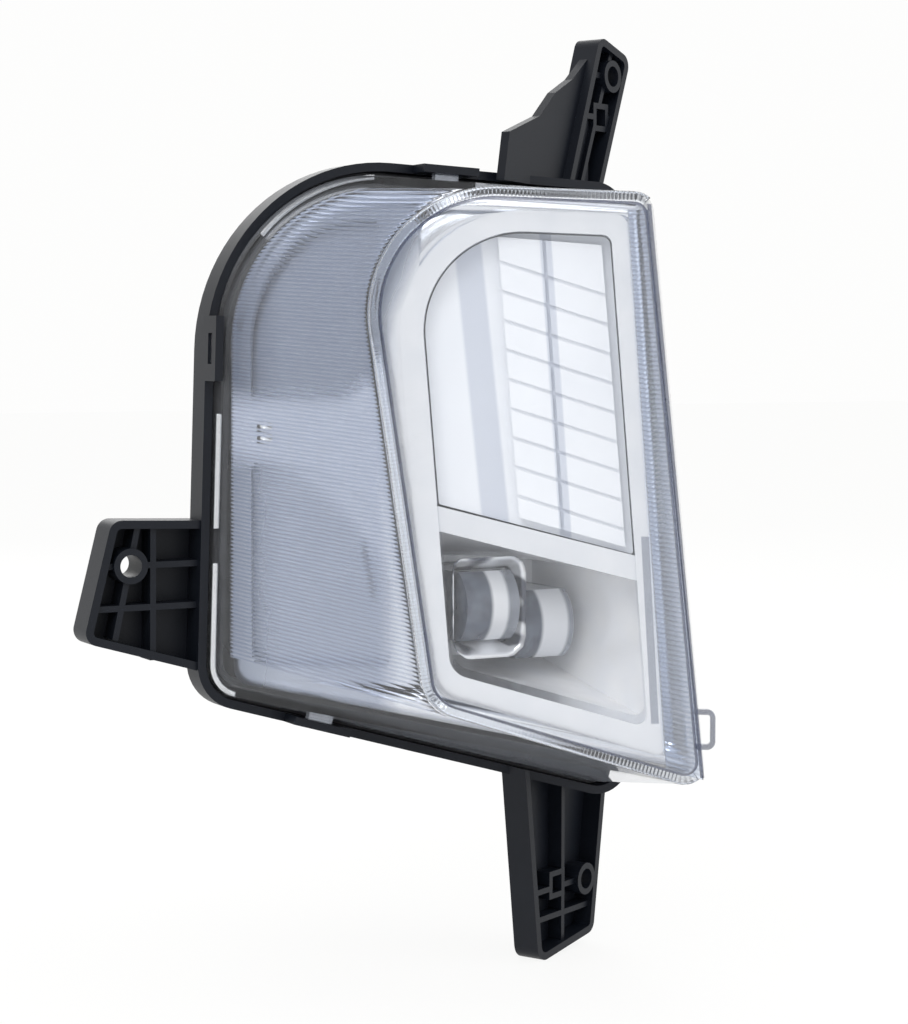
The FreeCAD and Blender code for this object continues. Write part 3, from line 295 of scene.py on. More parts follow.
class Paint(Nodes):
    """One material and its nodes."""

    def __init__(self, name):
        self.material = bpy.data.materials.new(name)
        self.material.use_nodes = True
        super().__init__(self.material.node_tree)
        self.shader = self.tree.nodes["Principled BSDF"]

    def place(self):
        """A point's own coordinates on its piece."""
        return self.node("ShaderNodeTexCoord").outputs["Object"]

    def noise(self, scale, detail=3.0, stretch=(1.0, 1.0, 1.0)):
        """Noise on object coordinates, with a scale per metre that may differ along the axes."""
        mapped = self.node("ShaderNodeMapping", None, {"Vector": self.place(), "Scale": stretch})
        found = self.node("ShaderNodeTexNoise", None,
                          {"Vector": mapped.outputs[0], "Scale": scale, "Detail": detail})
        return Value(self, found.outputs["Fac"])

    def along(self, direction):
        """How far a point lies along a direction, in millimetres from the face's origin: (p - o) . direction."""
        reach = self.node("ShaderNodeVectorMath", {"operation": "DOT_PRODUCT"}, {0: self.place(), 1: direction})
        origin = sum(a * b for a, b in zip(FACE_ORIGIN, direction))
        return Value(self, reach.outputs["Value"]) * (1.0 / MM) - origin

    def ramp(self, direction, start, stop):
        """From 0 to 1 as a point runs from start to stop along a direction."""
        return self.between(self.along(direction), start, stop)

    def strip(self, direction, first, last, soft):
        """1 where a point lies between two places along a direction, with soft ends."""
        return self.ramp(direction, first, first + soft) * (1.0 - self.ramp(direction, last - soft, last))

    def blend(self, factor, first, second):
        """A colour between two colours."""
        mixed = self.node("ShaderNodeMix", {"data_type": "RGBA"}, {0: factor})
        self.feed(mixed, {6: first, 7: second})
        return mixed.outputs[2]

    def bump(self, height, strength, distance):
        """A normal bent by a height."""
        found = self.node("ShaderNodeBump", None, {"Height": height, "Strength": strength, "Distance": distance})
        return found.outputs[0]

    def glass(self, bend):
        """Makes the shader clear, with an index of refraction."""
        self.feed(self.shader, {"Transmission Weight": 1.0, "IOR": bend})

    def finish(self, **inputs):
        """Feeds the shader's sockets, and gives the material."""
        self.feed(self.shader, {name.replace("_", " "): value for name, value in inputs.items()})
        return self.material


def rgb(*shade):
    """A colour with full cover."""
    return (*shade, 1.0)


def leaning(lean):
    """Direction along which a point of the face lies at u + lean z."""
    return (ALONG_FACE[0], ALONG_FACE[1], lean)


def grained(name, dark, light, rough, grain=2600.0, depth=0.00004, metal=0.0, gloss=0.5):
    """Moulded or cast skin: two shades in broad clouds, a fine grain in the normal and the gloss."""
    paint = Paint(name)
    cloud = paint.noise(60.0)
    grit = paint.noise(grain, 2.0)
    return paint.finish(Base_Color=paint.blend(cloud, rgb(*dark), rgb(*light)),
                        Roughness=grit * 0.14 + (rough - 0.07), Metallic=metal, Specular_IOR_Level=gloss,
                        Normal=paint.bump(grit, 0.35, depth))


def metallised(name, shade, rough):
    """Vacuum-metallised plastic: bright, with faint clouds in its gloss and a very slight waviness."""
    paint = Paint(name)
    cloud = paint.noise(TRIM_CLOUD)
    wave = paint.noise(TRIM_WAVE, 1.0)
    deep = tuple(0.9 * part for part in shade)
    return paint.finish(Base_Color=paint.blend(cloud, rgb(*deep), rgb(*shade)), Metallic=1.0,
                        Roughness=cloud * 0.08 + rough, Normal=paint.bump(wave, 0.12, 0.0004))


def scooped_trim(name, colours):
    """Metallised trim whose wing, left of the window, is greyer and has two scoops in painted shade, darker
    towards the wing's left end. The upper scoop lies above z = 34 + 0.06 (u - 28)^2 past u = 28, and the lower one
    below z = 17 - 0.0172 u^2. The wing's right edge leans to the right above z = 58. A slit beside the lower scoop
    and a slot in the right bar, which have no shape of their own, are painted dark as painted shade too."""
    paint = Paint(name)
    cloud = paint.noise(TRIM_CLOUD)
    u = paint.along(ALONG_FACE)
    z = paint.along(UP)
    past = (u - UPPER_BEND_FROM).maths("MAXIMUM", 0.0)
    across = u - (z - WING_LEAN_FROM).maths("MAXIMUM", 0.0) * WING_LEAN
    wing = paint.between(across, 41.0, 48.0, 1.0, 0.0)
    upper = paint.between(z - past * past * UPPER_BEND, 31.0, 38.0)
    lower = paint.between(z + u * u * LOWER_BEND, 13.0, 20.0, 1.0, 0.0)
    # Painted shade: the scoops darken, more towards the wing's left end, and the slit and the slot are painted
    # dark
    left = paint.between(u, 0.0, 13.0, 0.35, 0.0)
    scoop = wing * (upper * (left + 0.62) + lower * (left + 0.3))
    slit = paint.strip(leaning(0.197), 34.0, 36.2, 0.7) * paint.strip(UP, -27.0, -7.0, 4.0)
    slot = paint.strip(leaning(0.059), 118.6, 121.2, 0.3) * paint.strip(UP, -62.0, -6.0, 0.5)
    bright = paint.blend(cloud, rgb(*colours.trim_dark), rgb(*colours.trim_light))
    tone = paint.blend(wing, bright, rgb(*colours.wing_tone))
    dark = scoop + slit * 0.4 + slot * 0.6
    return paint.finish(Base_Color=paint.blend(dark, tone, rgb(*colours.scoop_painted_shade)), Metallic=0.85,
                        Roughness=cloud * 0.08 + (scoop * 0.2 + 0.14),
                        Normal=paint.bump(paint.noise(TRIM_WAVE, 1.0), 0.12, 0.0004))


def bowl_silver(name, colours):
    """Silvered bowl: satin white with a soft gloss, painted shade that darkens towards each facet's edge, and
    shallow facets in its normal.
    """
    paint = Paint(name)
    cells = paint.node("ShaderNodeTexVoronoi", None, {"Vector": paint.place(), "Scale": 110.0})
    facet = Value(paint, cells.outputs["Distance"])
    return paint.finish(Base_Color=paint.blend(facet, rgb(*colours.bowl_light), rgb(*colours.bowl_shade)),
                        Metallic=0.08, Roughness=facet * 0.1 + 0.08, Normal=paint.bump(facet, 0.2, 0.001))


def painted_reflection_optic(name, left, right, dark, bright):
    """Clear block with painted reflections of its bowl: by share of its width it is painted with a dark reflection
    up to one share, a bright reflection up to another, and is nearly clear past that."""
    paint = Paint(name)
    parts = paint.node("ShaderNodeSeparateXYZ", None, {0: paint.place()})
    share = paint.between(Value(paint, parts.outputs["X"]), left, right)
    past_dark_reflection = paint.between(share, dark - 0.05, dark + 0.02)
    past_bright_reflection = paint.between(share, bright - 0.04, bright + 0.03)
    cloud = paint.noise(260.0)
    # Painted reflections: dark up to the first share, a bright band, then grey and nearly clear
    deep = paint.blend(cloud, rgb(0.025, 0.03, 0.05), rgb(0.2, 0.23, 0.29))
    edge = paint.blend(past_bright_reflection, rgb(0.88, 0.9, 0.94), rgb(0.5, 0.54, 0.62))
    return paint.finish(Base_Color=paint.blend(past_dark_reflection, deep, edge), Roughness=cloud * 0.03 + 0.02,
                        Alpha=0.84 - past_bright_reflection * 0.44)


def painted_reflection_cup(name):
    """Silvered cup with painted reflections: dark and bright facets with crisp edges, noise held between two
    close levels.
    """
    paint = Paint(name)
    facet = paint.between(paint.noise(95.0, 0.5, (1.0, 1.0, 1.6)), 0.44, 0.52)
    return paint.finish(Base_Color=paint.blend(facet, rgb(0.09, 0.1, 0.13), rgb(0.86, 0.88, 0.92)), Metallic=0.5,
                        Roughness=facet * 0.06 + 0.08)


def clear(name, haze, tint, rough, skirt=0.0, side_painted_shade=(1.0, 1.0, 1.0)):
    """Clear moulding: seen through, with the gloss of a skin that grows towards a grazing look.
    Its cover is haze + 0.7 facing^5, and more by skirt behind the face, where its sides take a darker colour
    as painted shade."""
    paint = Paint(name)
    facing = Value(paint, paint.node("ShaderNodeLayerWeight", None, {"Blend": 0.5}).outputs["Facing"])
    dust = paint.noise(220.0)
    shade = rgb(*tint)
    cover = facing ** 5.0 * 0.7 + (dust * 0.03 + (haze + 0.025))
    # The cover's sides behind the face: painted shade, darker and less clear
    if skirt:
        side = paint.ramp(BEHIND_FACE, 2.7, 8.0)
        shade = paint.blend(side * (skirt * 2.0), shade, rgb(*side_painted_shade))
        cover = cover + side * skirt
    return paint.finish(Base_Color=shade, Metallic=0.6, Roughness=dust * 0.05 + rough, Alpha=cover)


def refracting(name, tint, rough):
    """Clear relief that bends what is seen through it."""
    paint = Paint(name)
    dust = paint.noise(300.0)
    paint.glass(1.45)
    return paint.finish(Base_Color=rgb(*tint), Roughness=dust * 0.05 + rough)


def fluted(name, groove, crest):
    """Clear flutes with painted shade: what is seen through them is painted dimmer towards the grooves between
    crests.
    """
    paint = Paint(name)
    height = Value(paint, paint.node("ShaderNodeAttribute", {"attribute_name": "crest"}).outputs["Fac"])
    paint.glass(1.3)
    return paint.finish(Base_Color=paint.blend(height ** 0.7, rgb(*groove), rgb(*crest)),
                        Roughness=0.07 - height * 0.03)


def painted_edge_reflection(name, colours):
    """Painted reflection: the blue-black of light caught in the cover's edge, thin, and a little uneven along it.
    """
    paint = Paint(name)
    cloud = paint.noise(30.0)
    return paint.finish(Base_Color=paint.blend(cloud, rgb(*colours.edge_dark), rgb(*colours.edge_light)),
                        Roughness=0.15, Alpha=cloud * 0.4 + 0.3)


def milky(name):
    """Diffusing optic: white with a faint cool cloud and a soft gloss."""
    paint = Paint(name)
    cloud = paint.noise(45.0)
    return paint.finish(Base_Color=paint.blend(cloud, rgb(0.7, 0.73, 0.79), rgb(0.82, 0.845, 0.885)),
                        Roughness=cloud * 0.1 + 0.14)


def grooved_optic(name, colours):
    """Milky plate of the daytime light, with an upright band of painted shade beside its grooved column and
    another along the column's ridge. Each band runs where u + lean z lies between two values."""
    paint = Paint(name)
    cloud = paint.noise(45.0)
    white = paint.blend(cloud, rgb(*colours.optic_dark), rgb(*colours.optic_light))
    # Painted shade in two upright bands
    shade = paint.strip(leaning(0.103), 71.5, 80.5, 1.0) + paint.strip(leaning(0.072), 94.6, 98.6, 0.6)
    return paint.finish(Base_Color=paint.blend(shade * 0.8, white, rgb(*colours.optic_band_shade)),
                        Roughness=cloud * 0.1 + 0.14)


def board(name):
    """Solder mask with lighter copper tracks: bands of stretched noise."""
    paint = Paint(name)
    track = paint.noise(260.0, 1.0, (1.0, 1.0, 0.12))
    return paint.finish(Base_Color=paint.blend(track, rgb(0.02, 0.09, 0.05), rgb(0.05, 0.2, 0.11)),
                        Roughness=track * 0.2 + 0.25, Normal=paint.bump(track, 0.3, 0.0001))


def phosphor(name):
    """Emitter face: yellow phosphor, unlit."""
    paint = Paint(name)
    grain = paint.noise(1800.0)
    return paint.finish(Base_Color=paint.blend(grain, rgb(0.72, 0.56, 0.1), rgb(0.9, 0.8, 0.3)), Roughness=0.4)


def finishes(colours):
    """Every finish of the lamp by its record slot."""
    return {
        "black_plastic": grained("black_plastic", colours.plastic_dark, colours.plastic_light, 0.42, gloss=0.22),
        "clear_lens": clear("clear_lens", 0.005, colours.cover_tint, 0.02, 0.36, colours.side_painted_shade),
        "sealant": grained("sealant", (0.03, 0.03, 0.034), (0.05, 0.05, 0.055), 0.7, 1400.0, 0.0001),
        "bright_trim": metallised("bright_trim", (0.8, 0.82, 0.86), 0.16),
        "clear_optic": refracting("clear_optic", (0.97, 0.98, 1.0), 0.0),
        "milky_optic": milky("milky_optic"),
        "white_plastic": grained("white_plastic", (0.78, 0.79, 0.8), (0.86, 0.87, 0.88), 0.5),
        "circuit_board": board("circuit_board"),
        "emitter": phosphor("emitter"),
        "thermal_sheet": grained("thermal_sheet", (0.38, 0.39, 0.42), (0.46, 0.47, 0.5), 0.8, 900.0, 0.0001),
        "cast_aluminium": grained("cast_aluminium", (0.5, 0.51, 0.53), (0.62, 0.63, 0.65), 0.38, 1800.0, 0.00008,
                                  1.0),
        "rubber": grained("rubber", (0.02, 0.02, 0.022), (0.035, 0.035, 0.038), 0.75, 1200.0, 0.0001),
        "zinc_steel": grained("zinc_steel", (0.55, 0.56, 0.58), (0.68, 0.69, 0.7), 0.28, 3000.0, 0.00002, 1.0),
        "contact_metal": grained("contact_metal", (0.6, 0.5, 0.3), (0.75, 0.64, 0.4), 0.25, 3000.0, 0.00001, 1.0),
    }


def floor_paint():
    """Pale floor that looks nearly white where it is seen, and keeps a soft shadow."""
    paint = Paint("floor")
    paint.finish(Base_Color=rgb(0.86, 0.86, 0.86), Roughness=0.9)
    glow = paint.node("ShaderNodeEmission", None, {"Color": rgb(SEEN_WHITE, SEEN_WHITE, 0.98)})
    share = paint.between(paint.seen(), 0.0, 1.0, 0.0, 0.9)
    mixed = paint.node("ShaderNodeMixShader", None, {0: share, 1: paint.shader.outputs[0], 2: glow.outputs[0]})
    paint.feed(paint.tree.nodes["Material Output"], {"Surface": mixed.outputs[0]})
    return paint.material


def surroundings(strength):
    """White room: full white where it is seen directly, in gloss or through glass, softer as light, and
    brighter from above than from below."""
    world = bpy.data.worlds.new("white_room")
    world.use_nodes = True
    nodes = Nodes(world.node_tree)
    direction = nodes.node("ShaderNodeTexCoord").outputs["Generated"]
    parts = nodes.node("ShaderNodeSeparateXYZ", None, {0: direction})
    light = nodes.between(Value(nodes, parts.outputs["Z"]), -0.35, 0.55, strength * 0.5, strength * 1.5)
    level = nodes.between(nodes.seen(), 0.0, 1.0, light, SEEN_WHITE)
    nodes.feed(world.node_tree.nodes["Background"], {"Color": rgb(1.0, 1.0, 0.995), "Strength": level})
    return world


def face_points(u, depth, z):
    """Points of the face frame, in millimetres, as points of the row frame in metres."""
    x = FACE_ORIGIN[0] + u * math.cos(SWEEP) + depth * math.sin(SWEEP)
    y = FACE_ORIGIN[1] - u * math.sin(SWEEP) + depth * math.cos(SWEEP)
    return np.stack([x, y, FACE_ORIGIN[2] + z], axis=-1) * MM


def rounded_outline(corners, samples=60, grow=0.0):
    """A closed line through four rounded corners, moved outwards by grow. Each corner is an arc of its
    radius between its tangent points, and straight edges join the arcs."""
    corners = np.array(corners, float)
    points = corners[:, :2]
    back = np.roll(points, 1, axis=0) - points
    ahead = np.roll(points, -1, axis=0) - points
    back /= np.linalg.norm(back, axis=1, keepdims=True)
    ahead /= np.linalg.norm(ahead, axis=1, keepdims=True)
    half = np.arccos(np.clip((back * ahead).sum(1), -1, 1)) / 2
    radius = corners[:, 2] + grow
    middle = back + ahead
    middle /= np.linalg.norm(middle, axis=1, keepdims=True)
    centre = points + middle * (corners[:, 2] / np.sin(half))[:, None]
    span = np.linspace(-1, 1, samples)[None, :] * (math.pi / 2 - half)[:, None]
    aim = np.arctan2(-middle[:, 1], -middle[:, 0])[:, None] + span
    arcs = centre[:, None, :] + radius[:, None, None] * np.stack([np.cos(aim), np.sin(aim)], axis=-1)
    return arcs.reshape(-1, 2)


def evenly(line, count):
    """A closed line at equal steps of its length."""
    closed = np.vstack([line, line[:1]])
    run = np.concatenate([[0.0], np.cumsum(np.linalg.norm(np.diff(closed, axis=0), axis=1))])
    at = np.linspace(0, run[-1], count, endpoint=False)
    return np.stack([np.interp(at, run, closed[:, k]) for k in (0, 1)], axis=-1)


def near_side(line, pole, angles, count=4000):
    """Distance from the pole to the line's near side, for each angle of a ray from the pole. The line is
    split where its angle is largest and smallest, and the side with the lesser mean distance is taken."""
    dense = evenly(line, count) - pole
    reach = np.hypot(dense[:, 0], dense[:, 1])
    turn = np.arctan2(dense[:, 1], dense[:, 0])
    start = int(turn.argmax())
    stop = int(turn.argmin())
    one = np.roll(np.arange(count), -start)[: (stop - start) % count + 1]
    other = np.roll(np.arange(count), -stop)[: (start - stop) % count + 1]
    near = one if reach[one].mean() < reach[other].mean() else other
    order = near[np.argsort(turn[near])]
    return np.interp(angles, turn[order], reach[order])


def crossing(ends, pole, angles):
    """Distance from the pole to a straight line through two points, along each angle."""
    first, second = np.array(ends) - pole
    normal = np.array([second[1] - first[1], first[0] - second[0]])
    return (normal @ first) / (normal[0] * np.cos(angles) + normal[1] * np.sin(angles))


def band(inner, outer, count=0, pitch=0.0, right=True):
    """A band between two outlines, each four corners and an offset: a count of points, or six to a pitch, at
    equal steps along the inner one, carried across to the outer one by share. Without its right side it is
    open and runs from the middle of the upper right corner, round the left, to the middle of the lower right
    one. Gives the grid of points, and how far along each row lies."""
    arc = 80
    sides = [rounded_outline(corners, arc, grow) for corners, grow in (inner, outer)]
    if right:
        sides = [np.vstack([side, side[:1]]) for side in sides]
    else:
        sides = [np.roll(side, -(2 * arc + arc // 2), axis=0)[: 3 * arc] for side in sides]
    run = np.concatenate([[0.0], np.cumsum(np.linalg.norm(np.diff(sides[0], axis=0), axis=1))])
    at = np.linspace(0, run[-1], count or int(run[-1] / pitch) * 6, endpoint=not right)
    lines = [np.stack([np.interp(at, run, side[:, k]) for k in (0, 1)], axis=-1) for side in sides]
    share = np.linspace(0, 1, 4)[None, :, None]
    return lines[0][:, None, :] * (1 - share) + lines[1][:, None, :] * share, at


def slab(front, back, ring=False):
    """A closed shell between two grids of points with the same shape: front faces look out of the
    front grid, back faces the other way, and a rim joins their open edges."""
    rows, columns = front.shape[:2]
    index = np.arange(rows * columns).reshape(rows, columns)
    if ring:
        index = np.vstack([index, index[:1]])
    sheet = np.stack([index[:-1, :-1], index[1:, :-1], index[1:, 1:], index[:-1, 1:]], axis=-1).reshape(-1, 4)
    far = rows * columns
    edges = [index[:, 0], index[::-1, -1]]
    if not ring:
        edges += [index[0, ::-1], index[-1, :]]
    rims = [np.stack([edge[1:], edge[:-1], edge[:-1] + far, edge[1:] + far], axis=-1) for edge in edges]
    faces = np.vstack([sheet, sheet[:, ::-1] + far] + rims)
    return np.vstack([front.reshape(-1, 3), back.reshape(-1, 3)]), faces


def face_sheet(grid, front, back, ring=False):
    """A closed sheet over a grid of u and z, from depth front to depth back, which may vary over the grid."""
    u = grid[..., 0]
    z = grid[..., 1]
    return slab(face_points(u, front + 0 * u, z), face_points(u, back + 0 * u, z), ring)


def row_sheet(grid, front, back, ring=False):
    """A closed sheet over a grid of row x and z, from y front to y back, which may vary over the grid."""
    x = grid[..., 0]
    z = grid[..., 1]
    sides = [np.stack([x, y + 0 * x, z], axis=-1) * MM for y in (front, back)]
    return slab(sides[0], sides[1], ring)


def outward(points, faces):
    """Faces turned about if the shell's signed volume, the sum of a.(b x c)/6, is below zero."""
    a, b, c, d = (points[faces[:, k]] for k in range(4))
    volume = (a * np.cross(b, c)).sum() + (a * np.cross(c, d)).sum()
    return faces if volume > 0 else faces[:, ::-1]


def piece(name, shells, material, crest=None):
    """One object of several closed shells, which rides on the lamp. Crest is how near each point lies to
    the top of a flute, for the finish."""
    points = []
    faces = []
    count = 0
    for found, quads in shells:
        faces.append(outward(found, quads) + count)
        points.append(found)
        count += len(found)
    mesh = bpy.data.meshes.new(name)
    mesh.from_pydata(np.vstack(points), [], np.vstack(faces).tolist())
    mesh.polygons.foreach_set("use_smooth", np.full(len(mesh.polygons), True))
    if crest is not None:
        mesh.attributes.new("crest", "FLOAT", "POINT").data.foreach_set("value", crest.astype(np.float32))
    mesh.materials.append(material)
    made = bpy.data.objects.new(name, mesh)
    bpy.context.scene.collection.objects.link(made)
    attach(made, "root")


def flute_turn(settings):
    """Angle between flutes, seen from the pole."""
    return settings.pitch / MM / PITCH_REACH


def fan(settings, angles, near, far):
    """A fluted panel: rays at the given angles from the pole, from near to far, with a flat side on the
    cover and a back of height base + relief |sin(pi n)|, where n counts flutes by angle. Gives the shell, and
    |sin(pi n)| at each of its points."""
    share = np.linspace(0, 1, 14)
    reach = near[:, None] + (far - near)[:, None] * share[None, :]
    u = settings.pole_u / MM + reach * np.cos(angles)[:, None]
    z = settings.pole_z / MM + reach * np.sin(angles)[:, None]
    wave = np.abs(np.sin(math.pi * angles / flute_turn(settings)))[:, None]
    back = RELIEF_SEAT + FLUTE_BASE + settings.relief / MM * wave
    return face_sheet(np.stack([u, z], axis=-1), RELIEF_SEAT, back), np.tile((wave + 0 * u).ravel(), 2)


def rays(settings, low, high):
    """Angles of rays, eight to a flute, between two angles."""
    return np.linspace(low, high, int((high - low) / flute_turn(settings) * 8))


class LAMP_OT_finishes(bpy.types.Operator):
    """Gives every CAD piece its finish"""

    bl_idname = "lamp.finishes"
    bl_label = "Finishes"

    def execute(self, context):
        colours = context.scene.lamp_finish
        made = finishes(colours)
        special = {"inner_bezel": scooped_trim("bezel_trim", colours),
                   "fog_reflector": bowl_silver("bowl_silver", colours),
                   "fog_board": grained("metal_core_board", (0.16, 0.17, 0.19), (0.26, 0.27, 0.3), 0.35),
                   "drl_lens": grooved_optic("grooved_optic", colours)}
        # Shares of each optic's width where its painted dark reflection and its painted bright reflection end
        for name, dark, bright in (("fog_lens", 0.5, 0.8), ("cornering_lens", 0.4, 0.9)):
            low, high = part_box(name)
            special[name] = painted_reflection_optic(name + "_clear", low.x, high.x, dark, bright)
        for row in frame["record"]["subparts"]:
            node = frame["nodes"][row["node"]]
            node.data.materials.clear()
            node.data.materials.append(special.get(row["node"], made[row["material_slot"]]))
        return {"FINISHED"}


class LAMP_OT_flutes(bpy.types.Operator):
    """Moulds the fan of flutes on the cover's inner side, left of the window and in its right strip"""

    bl_idname = "lamp.flutes"
    bl_label = "Cover flutes"

    def execute(self, context):
        settings = context.scene.lamp_cover
        colours = context.scene.lamp_finish
        pole = np.array([settings.pole_u / MM, settings.pole_z / MM])
        inner = rounded_outline(FACE, grow=-COVER_WALL - 0.1)
        edge = rounded_outline(WINDOW, grow=settings.tick_width / MM + 0.3)
        turn = np.arctan2(edge[:, 1] - pole[1], edge[:, 0] - pole[0])
        margin = 0.002
        angles = rays(settings, turn.min() + margin, turn.max() - margin)
        near = near_side(inner, pole, angles)
        far = np.maximum(near_side(edge, pole, angles), near + 0.5)
        shell, crest = fan(settings, angles, near, far)
        piece("cover_flutes", [shell],
              fluted("clear_relief", colours.flute_groove_shade, colours.flute_crest), crest)
        low, high = (math.atan2(z - pole[1], u - pole[0]) for u, z in STRIP_ENDS)
        angles = rays(settings, low, high)
        near = crossing(STRIP_LEFT, pole, angles)
        far = crossing(STRIP_RIGHT, pole, angles)
        shell, crest = fan(settings, angles, near, far)
        piece("strip_flutes", [shell],
              fluted("strip_relief", colours.strip_groove_shade, colours.strip_crest), crest)
        return {"FINISHED"}


class LAMP_OT_ticks(bpy.types.Operator):
    """Moulds the band of fine ticks round the raised window"""

    bl_idname = "lamp.ticks"
    bl_label = "Tick band"

    def execute(self, context):
        settings = context.scene.lamp_cover
        pitch = settings.tick_pitch / MM
        grid, at = band((WINDOW, 0.0), (WINDOW, settings.tick_width / MM), pitch=pitch, right=False)
        back = RELIEF_SEAT + TICK_BASE + TICK_RELIEF * np.abs(np.sin(math.pi * at / pitch))[:, None]
        piece("window_ticks", [face_sheet(grid, RELIEF_SEAT, back)],
              refracting("clear_ticks", (0.94, 0.96, 0.99), 0.06))
        return {"FINISHED"}


class LAMP_OT_edges(bpy.types.Operator):
    """Draws sheets of painted dark reflection: the bevel in the thickness of the raised window's edge, the right
    edge and the loop
    """

    bl_idname = "lamp.edges"
    bl_label = "Cover edges"

    def execute(self, context):
        colours = context.scene.lamp_finish
        grid = band((WINDOW, -0.9), (WINDOW, 0.1), 700)[0]
        slope = np.linspace(*BEVEL_DEPTH, 4)[None, :]
        bevel = face_sheet(grid, slope, slope + BEVEL_SHEET, ring=True)
        height = np.linspace(*EDGE_HEIGHTS, 40)[:, None]
        side = EDGE_START + (EDGE_HEIGHTS[1] - height) * EDGE_LEAN + np.linspace(0, EDGE_WIDTH, 4)[None, :]
        edge = face_sheet(np.stack([side, height + 0 * side], axis=-1), *EDGE_DEPTH)
        piece("window_bevel", [bevel, edge], painted_edge_reflection("bevel_painted_reflection", colours))
        grid = band((LOOP, -1.5), (LOOP, -0.1), 240)[0]
        loop = face_sheet(grid[grid[:, 2, 0] > LOOP_ROOT], *LOOP_DEPTH)
        piece("loop_edge", [loop], painted_edge_reflection("loop_painted_reflection", colours))
        return {"FINISHED"}


class LAMP_OT_trim(bpy.types.Operator):
    """Lays the thin bright skirt of the bezel round its ring, the border of its wing, and two pins"""

    bl_idname = "lamp.trim"
    bl_label = "Bezel trim"

    def execute(self, context):
        grid = band((RING, -1.5), (TRIM_EDGE, 0.0), 400)[0]
        fall = np.linspace(*SKIRT_DEPTH, 4)[None, :]
        piece("bezel_skirt", [face_sheet(grid, fall, fall + TRIM_SHEET, ring=True)],
              metallised("skirt_trim", (0.76, 0.79, 0.85), 0.2))
        grid = band((WING_EDGE, 0.0), (FACE, -2.75), 400, right=False)[0]
        fall = np.array(BORDER_DEPTHS)[None, :]
        piece("wing_border", [face_sheet(grid, fall, fall + TRIM_SHEET)],
              scooped_trim("border_trim", context.scene.lamp_finish))
        grids = [np.stack(np.meshgrid(PIN_SPAN, (low, low + PIN_HEIGHT)), axis=-1) for low in PIN_LOWS]
        piece("wing_pins", [face_sheet(grid, *PIN_DEPTH) for grid in grids],
              metallised("pin_trim", (0.95, 0.96, 0.98), 0.15))
        return {"FINISHED"}


class LAMP_OT_foot(bpy.types.Operator):
    """Marks a painted highlight in the cover's foot: bright strips in the seal channel, between pairs of points
    of the flange
    """

    bl_idname = "lamp.foot"
    bl_label = "Foot steps"

    def execute(self, context):
        count = 1200
        grid = band((FLANGE, -5.2), (FLANGE, -3.7), count)[0]
        shells = []
        for pair in FOOT_HIGHLIGHTS:
            ends = sorted(int(np.hypot(grid[:, 2, 0] - x, grid[:, 2, 1] - z).argmin()) for x, z in pair)
            part = grid[ends[0]:ends[1]]
            if len(part) >= count // 2:
                part = np.vstack([grid[ends[1]:], grid[:ends[0]]])
            shells.append(row_sheet(part, *FOOT_DEPTH))
        piece("foot_highlights", shells, clear("foot_highlight", 0.5, (0.93, 0.95, 0.98), 0.08))
        return {"FINISHED"}


class LAMP_OT_cup(bpy.types.Operator):
    """Sets the silvered cup round the main fog optic"""

    bl_idname = "lamp.cup"
    bl_label = "Optic cup"

    def execute(self, context):
        low, high = (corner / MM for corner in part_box("fog_lens"))
        inner = ((low.x - CUP_FIT, low.z - CUP_FIT, 0.5), (high.x + CUP_FIT, low.z - CUP_FIT, 0.5),
                 (high.x + CUP_FIT, high.z + CUP_FIT, 0.5), (low.x - CUP_FIT, high.z + CUP_FIT, 0.5))
        outer = ((low.x - CUP_LEFT, low.z - CUP_UNDER, 6.0), (high.x + CUP_RIGHT, low.z - CUP_UNDER, 6.0),
                 (high.x + CUP_RIGHT, high.z + CUP_OVER, 5.0), (low.x - CUP_LEFT, high.z + CUP_OVER, 3.0))
        grid = band((inner, 0.0), (outer, 0.0), 240)[0]
        depth = low.y + np.linspace(*CUP_DEPTH, 4)[None, :]
        piece("fog_cup", [row_sheet(grid, depth, depth + TRIM_SHEET, ring=True)],
              painted_reflection_cup("cup_silver"))
        return {"FINISHED"}


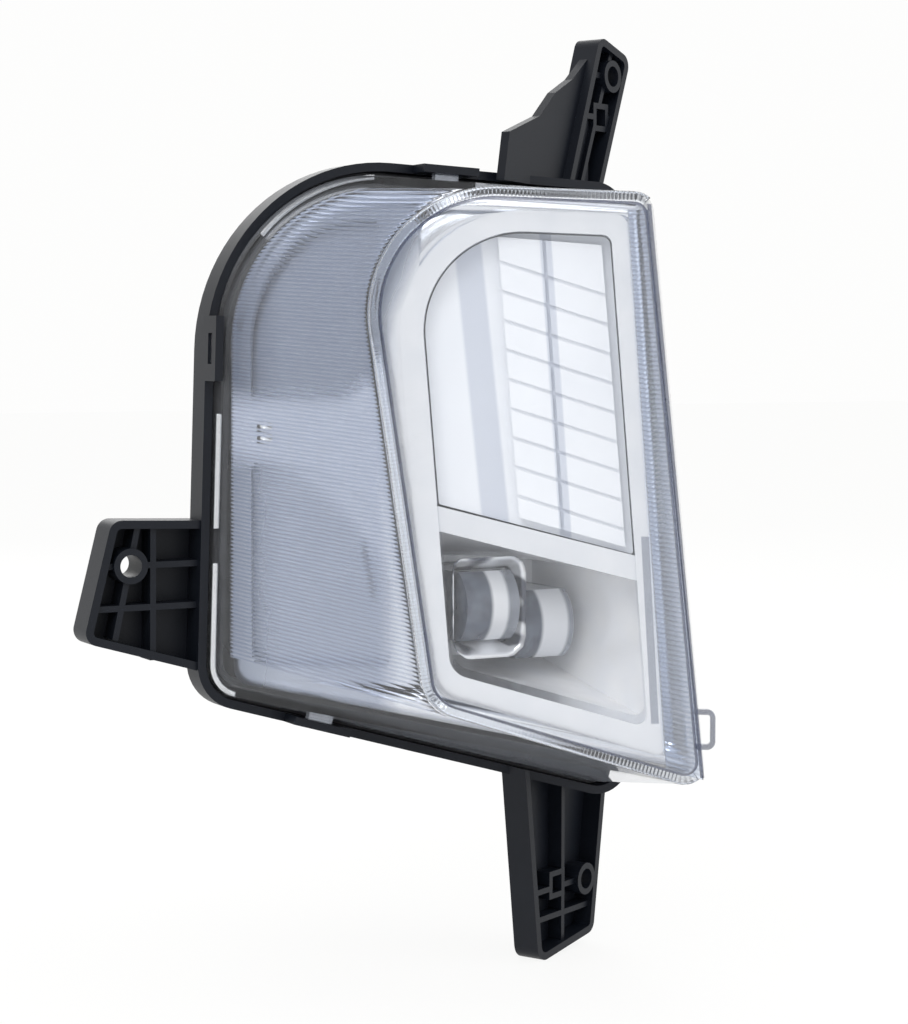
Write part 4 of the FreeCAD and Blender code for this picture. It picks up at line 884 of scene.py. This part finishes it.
class LAMP_OT_stage(bpy.types.Operator):
    """Sets the floor, the lights, the surroundings and the camera"""

    bl_idname = "lamp.stage"
    bl_label = "Studio"

    def execute(self, context):
        scene = context.scene
        settings = scene.lamp_stage
        scene.view_settings.view_transform = "Standard"
        target = Vector(settings.target)
        self.floor(scene)
        for name, place, side, share in LAMPS:
            lamp = bpy.data.lights.new(name, "AREA")
            lamp.energy = settings.key * share
            lamp.size = side
            made = bpy.data.objects.new(name, lamp)
            made.location = target + Vector(place)
            made.rotation_euler = (-Vector(place)).to_track_quat("-Z", "Y").to_euler()
            scene.collection.objects.link(made)
        scene.world = surroundings(settings.sky)
        camera = bpy.data.objects.new("camera", bpy.data.cameras.new("camera"))
        camera.data.lens = settings.focal
        camera.data.sensor_width = 36.0
        camera.data.clip_start = 0.01
        rise = settings.elevation
        turn = settings.azimuth
        back = Vector((math.sin(turn) * math.cos(rise), -math.cos(turn) * math.cos(rise), math.sin(rise)))
        camera.location = target + back * settings.distance
        camera.rotation_euler = (-back).to_track_quat("-Z", "Y").to_euler()
        scene.collection.objects.link(camera)
        scene.camera = camera
        return {"FINISHED"}

    def floor(self, scene):
        """A square at the lamp's lowest point."""
        low = CAD_BOX[0].z
        corners = [(x * FLOOR_REACH, y * FLOOR_REACH, low) for x, y in ((-1, -1), (1, -1), (1, 1), (-1, 1))]
        mesh = bpy.data.meshes.new("floor")
        mesh.from_pydata(corners, [], [(0, 1, 2, 3)])
        mesh.materials.append(floor_paint())
        floor = bpy.data.objects.new("floor", mesh)
        scene.collection.objects.link(floor)


class LAMP_PT_sidebar(bpy.types.Panel):
    """Lists the steps and their settings"""

    bl_label = "Driving light"
    bl_space_type = "VIEW_3D"
    bl_region_type = "UI"
    bl_category = "Driving light"

    def draw(self, context):
        scene = context.scene
        for settings in (scene.lamp_cover, scene.lamp_finish, scene.lamp_stage):
            for name in settings.__annotations__:
                self.layout.prop(settings, name)
        for step in STEPS:
            self.layout.operator(step.bl_idname)


STEPS = (LAMP_OT_finishes, LAMP_OT_flutes, LAMP_OT_ticks, LAMP_OT_edges, LAMP_OT_trim, LAMP_OT_foot, LAMP_OT_cup,
         LAMP_OT_stage)
CLASSES = (CoverSettings, FinishSettings, StageSettings) + STEPS + (LAMP_PT_sidebar,)


def register():
    for found in CLASSES:
        bpy.utils.register_class(found)
    bpy.types.Scene.lamp_cover = bpy.props.PointerProperty(type=CoverSettings)
    bpy.types.Scene.lamp_finish = bpy.props.PointerProperty(type=FinishSettings)
    bpy.types.Scene.lamp_stage = bpy.props.PointerProperty(type=StageSettings)


def unregister():
    del bpy.types.Scene.lamp_stage
    del bpy.types.Scene.lamp_finish
    del bpy.types.Scene.lamp_cover
    for found in reversed(CLASSES):
        bpy.utils.unregister_class(found)


def main():
    register()
    bpy.ops.lamp.finishes()
    bpy.ops.lamp.flutes()
    bpy.ops.lamp.ticks()
    bpy.ops.lamp.edges()
    bpy.ops.lamp.trim()
    bpy.ops.lamp.foot()
    bpy.ops.lamp.cup()
    bpy.ops.lamp.stage()


if __name__ == "__main__":
    main()
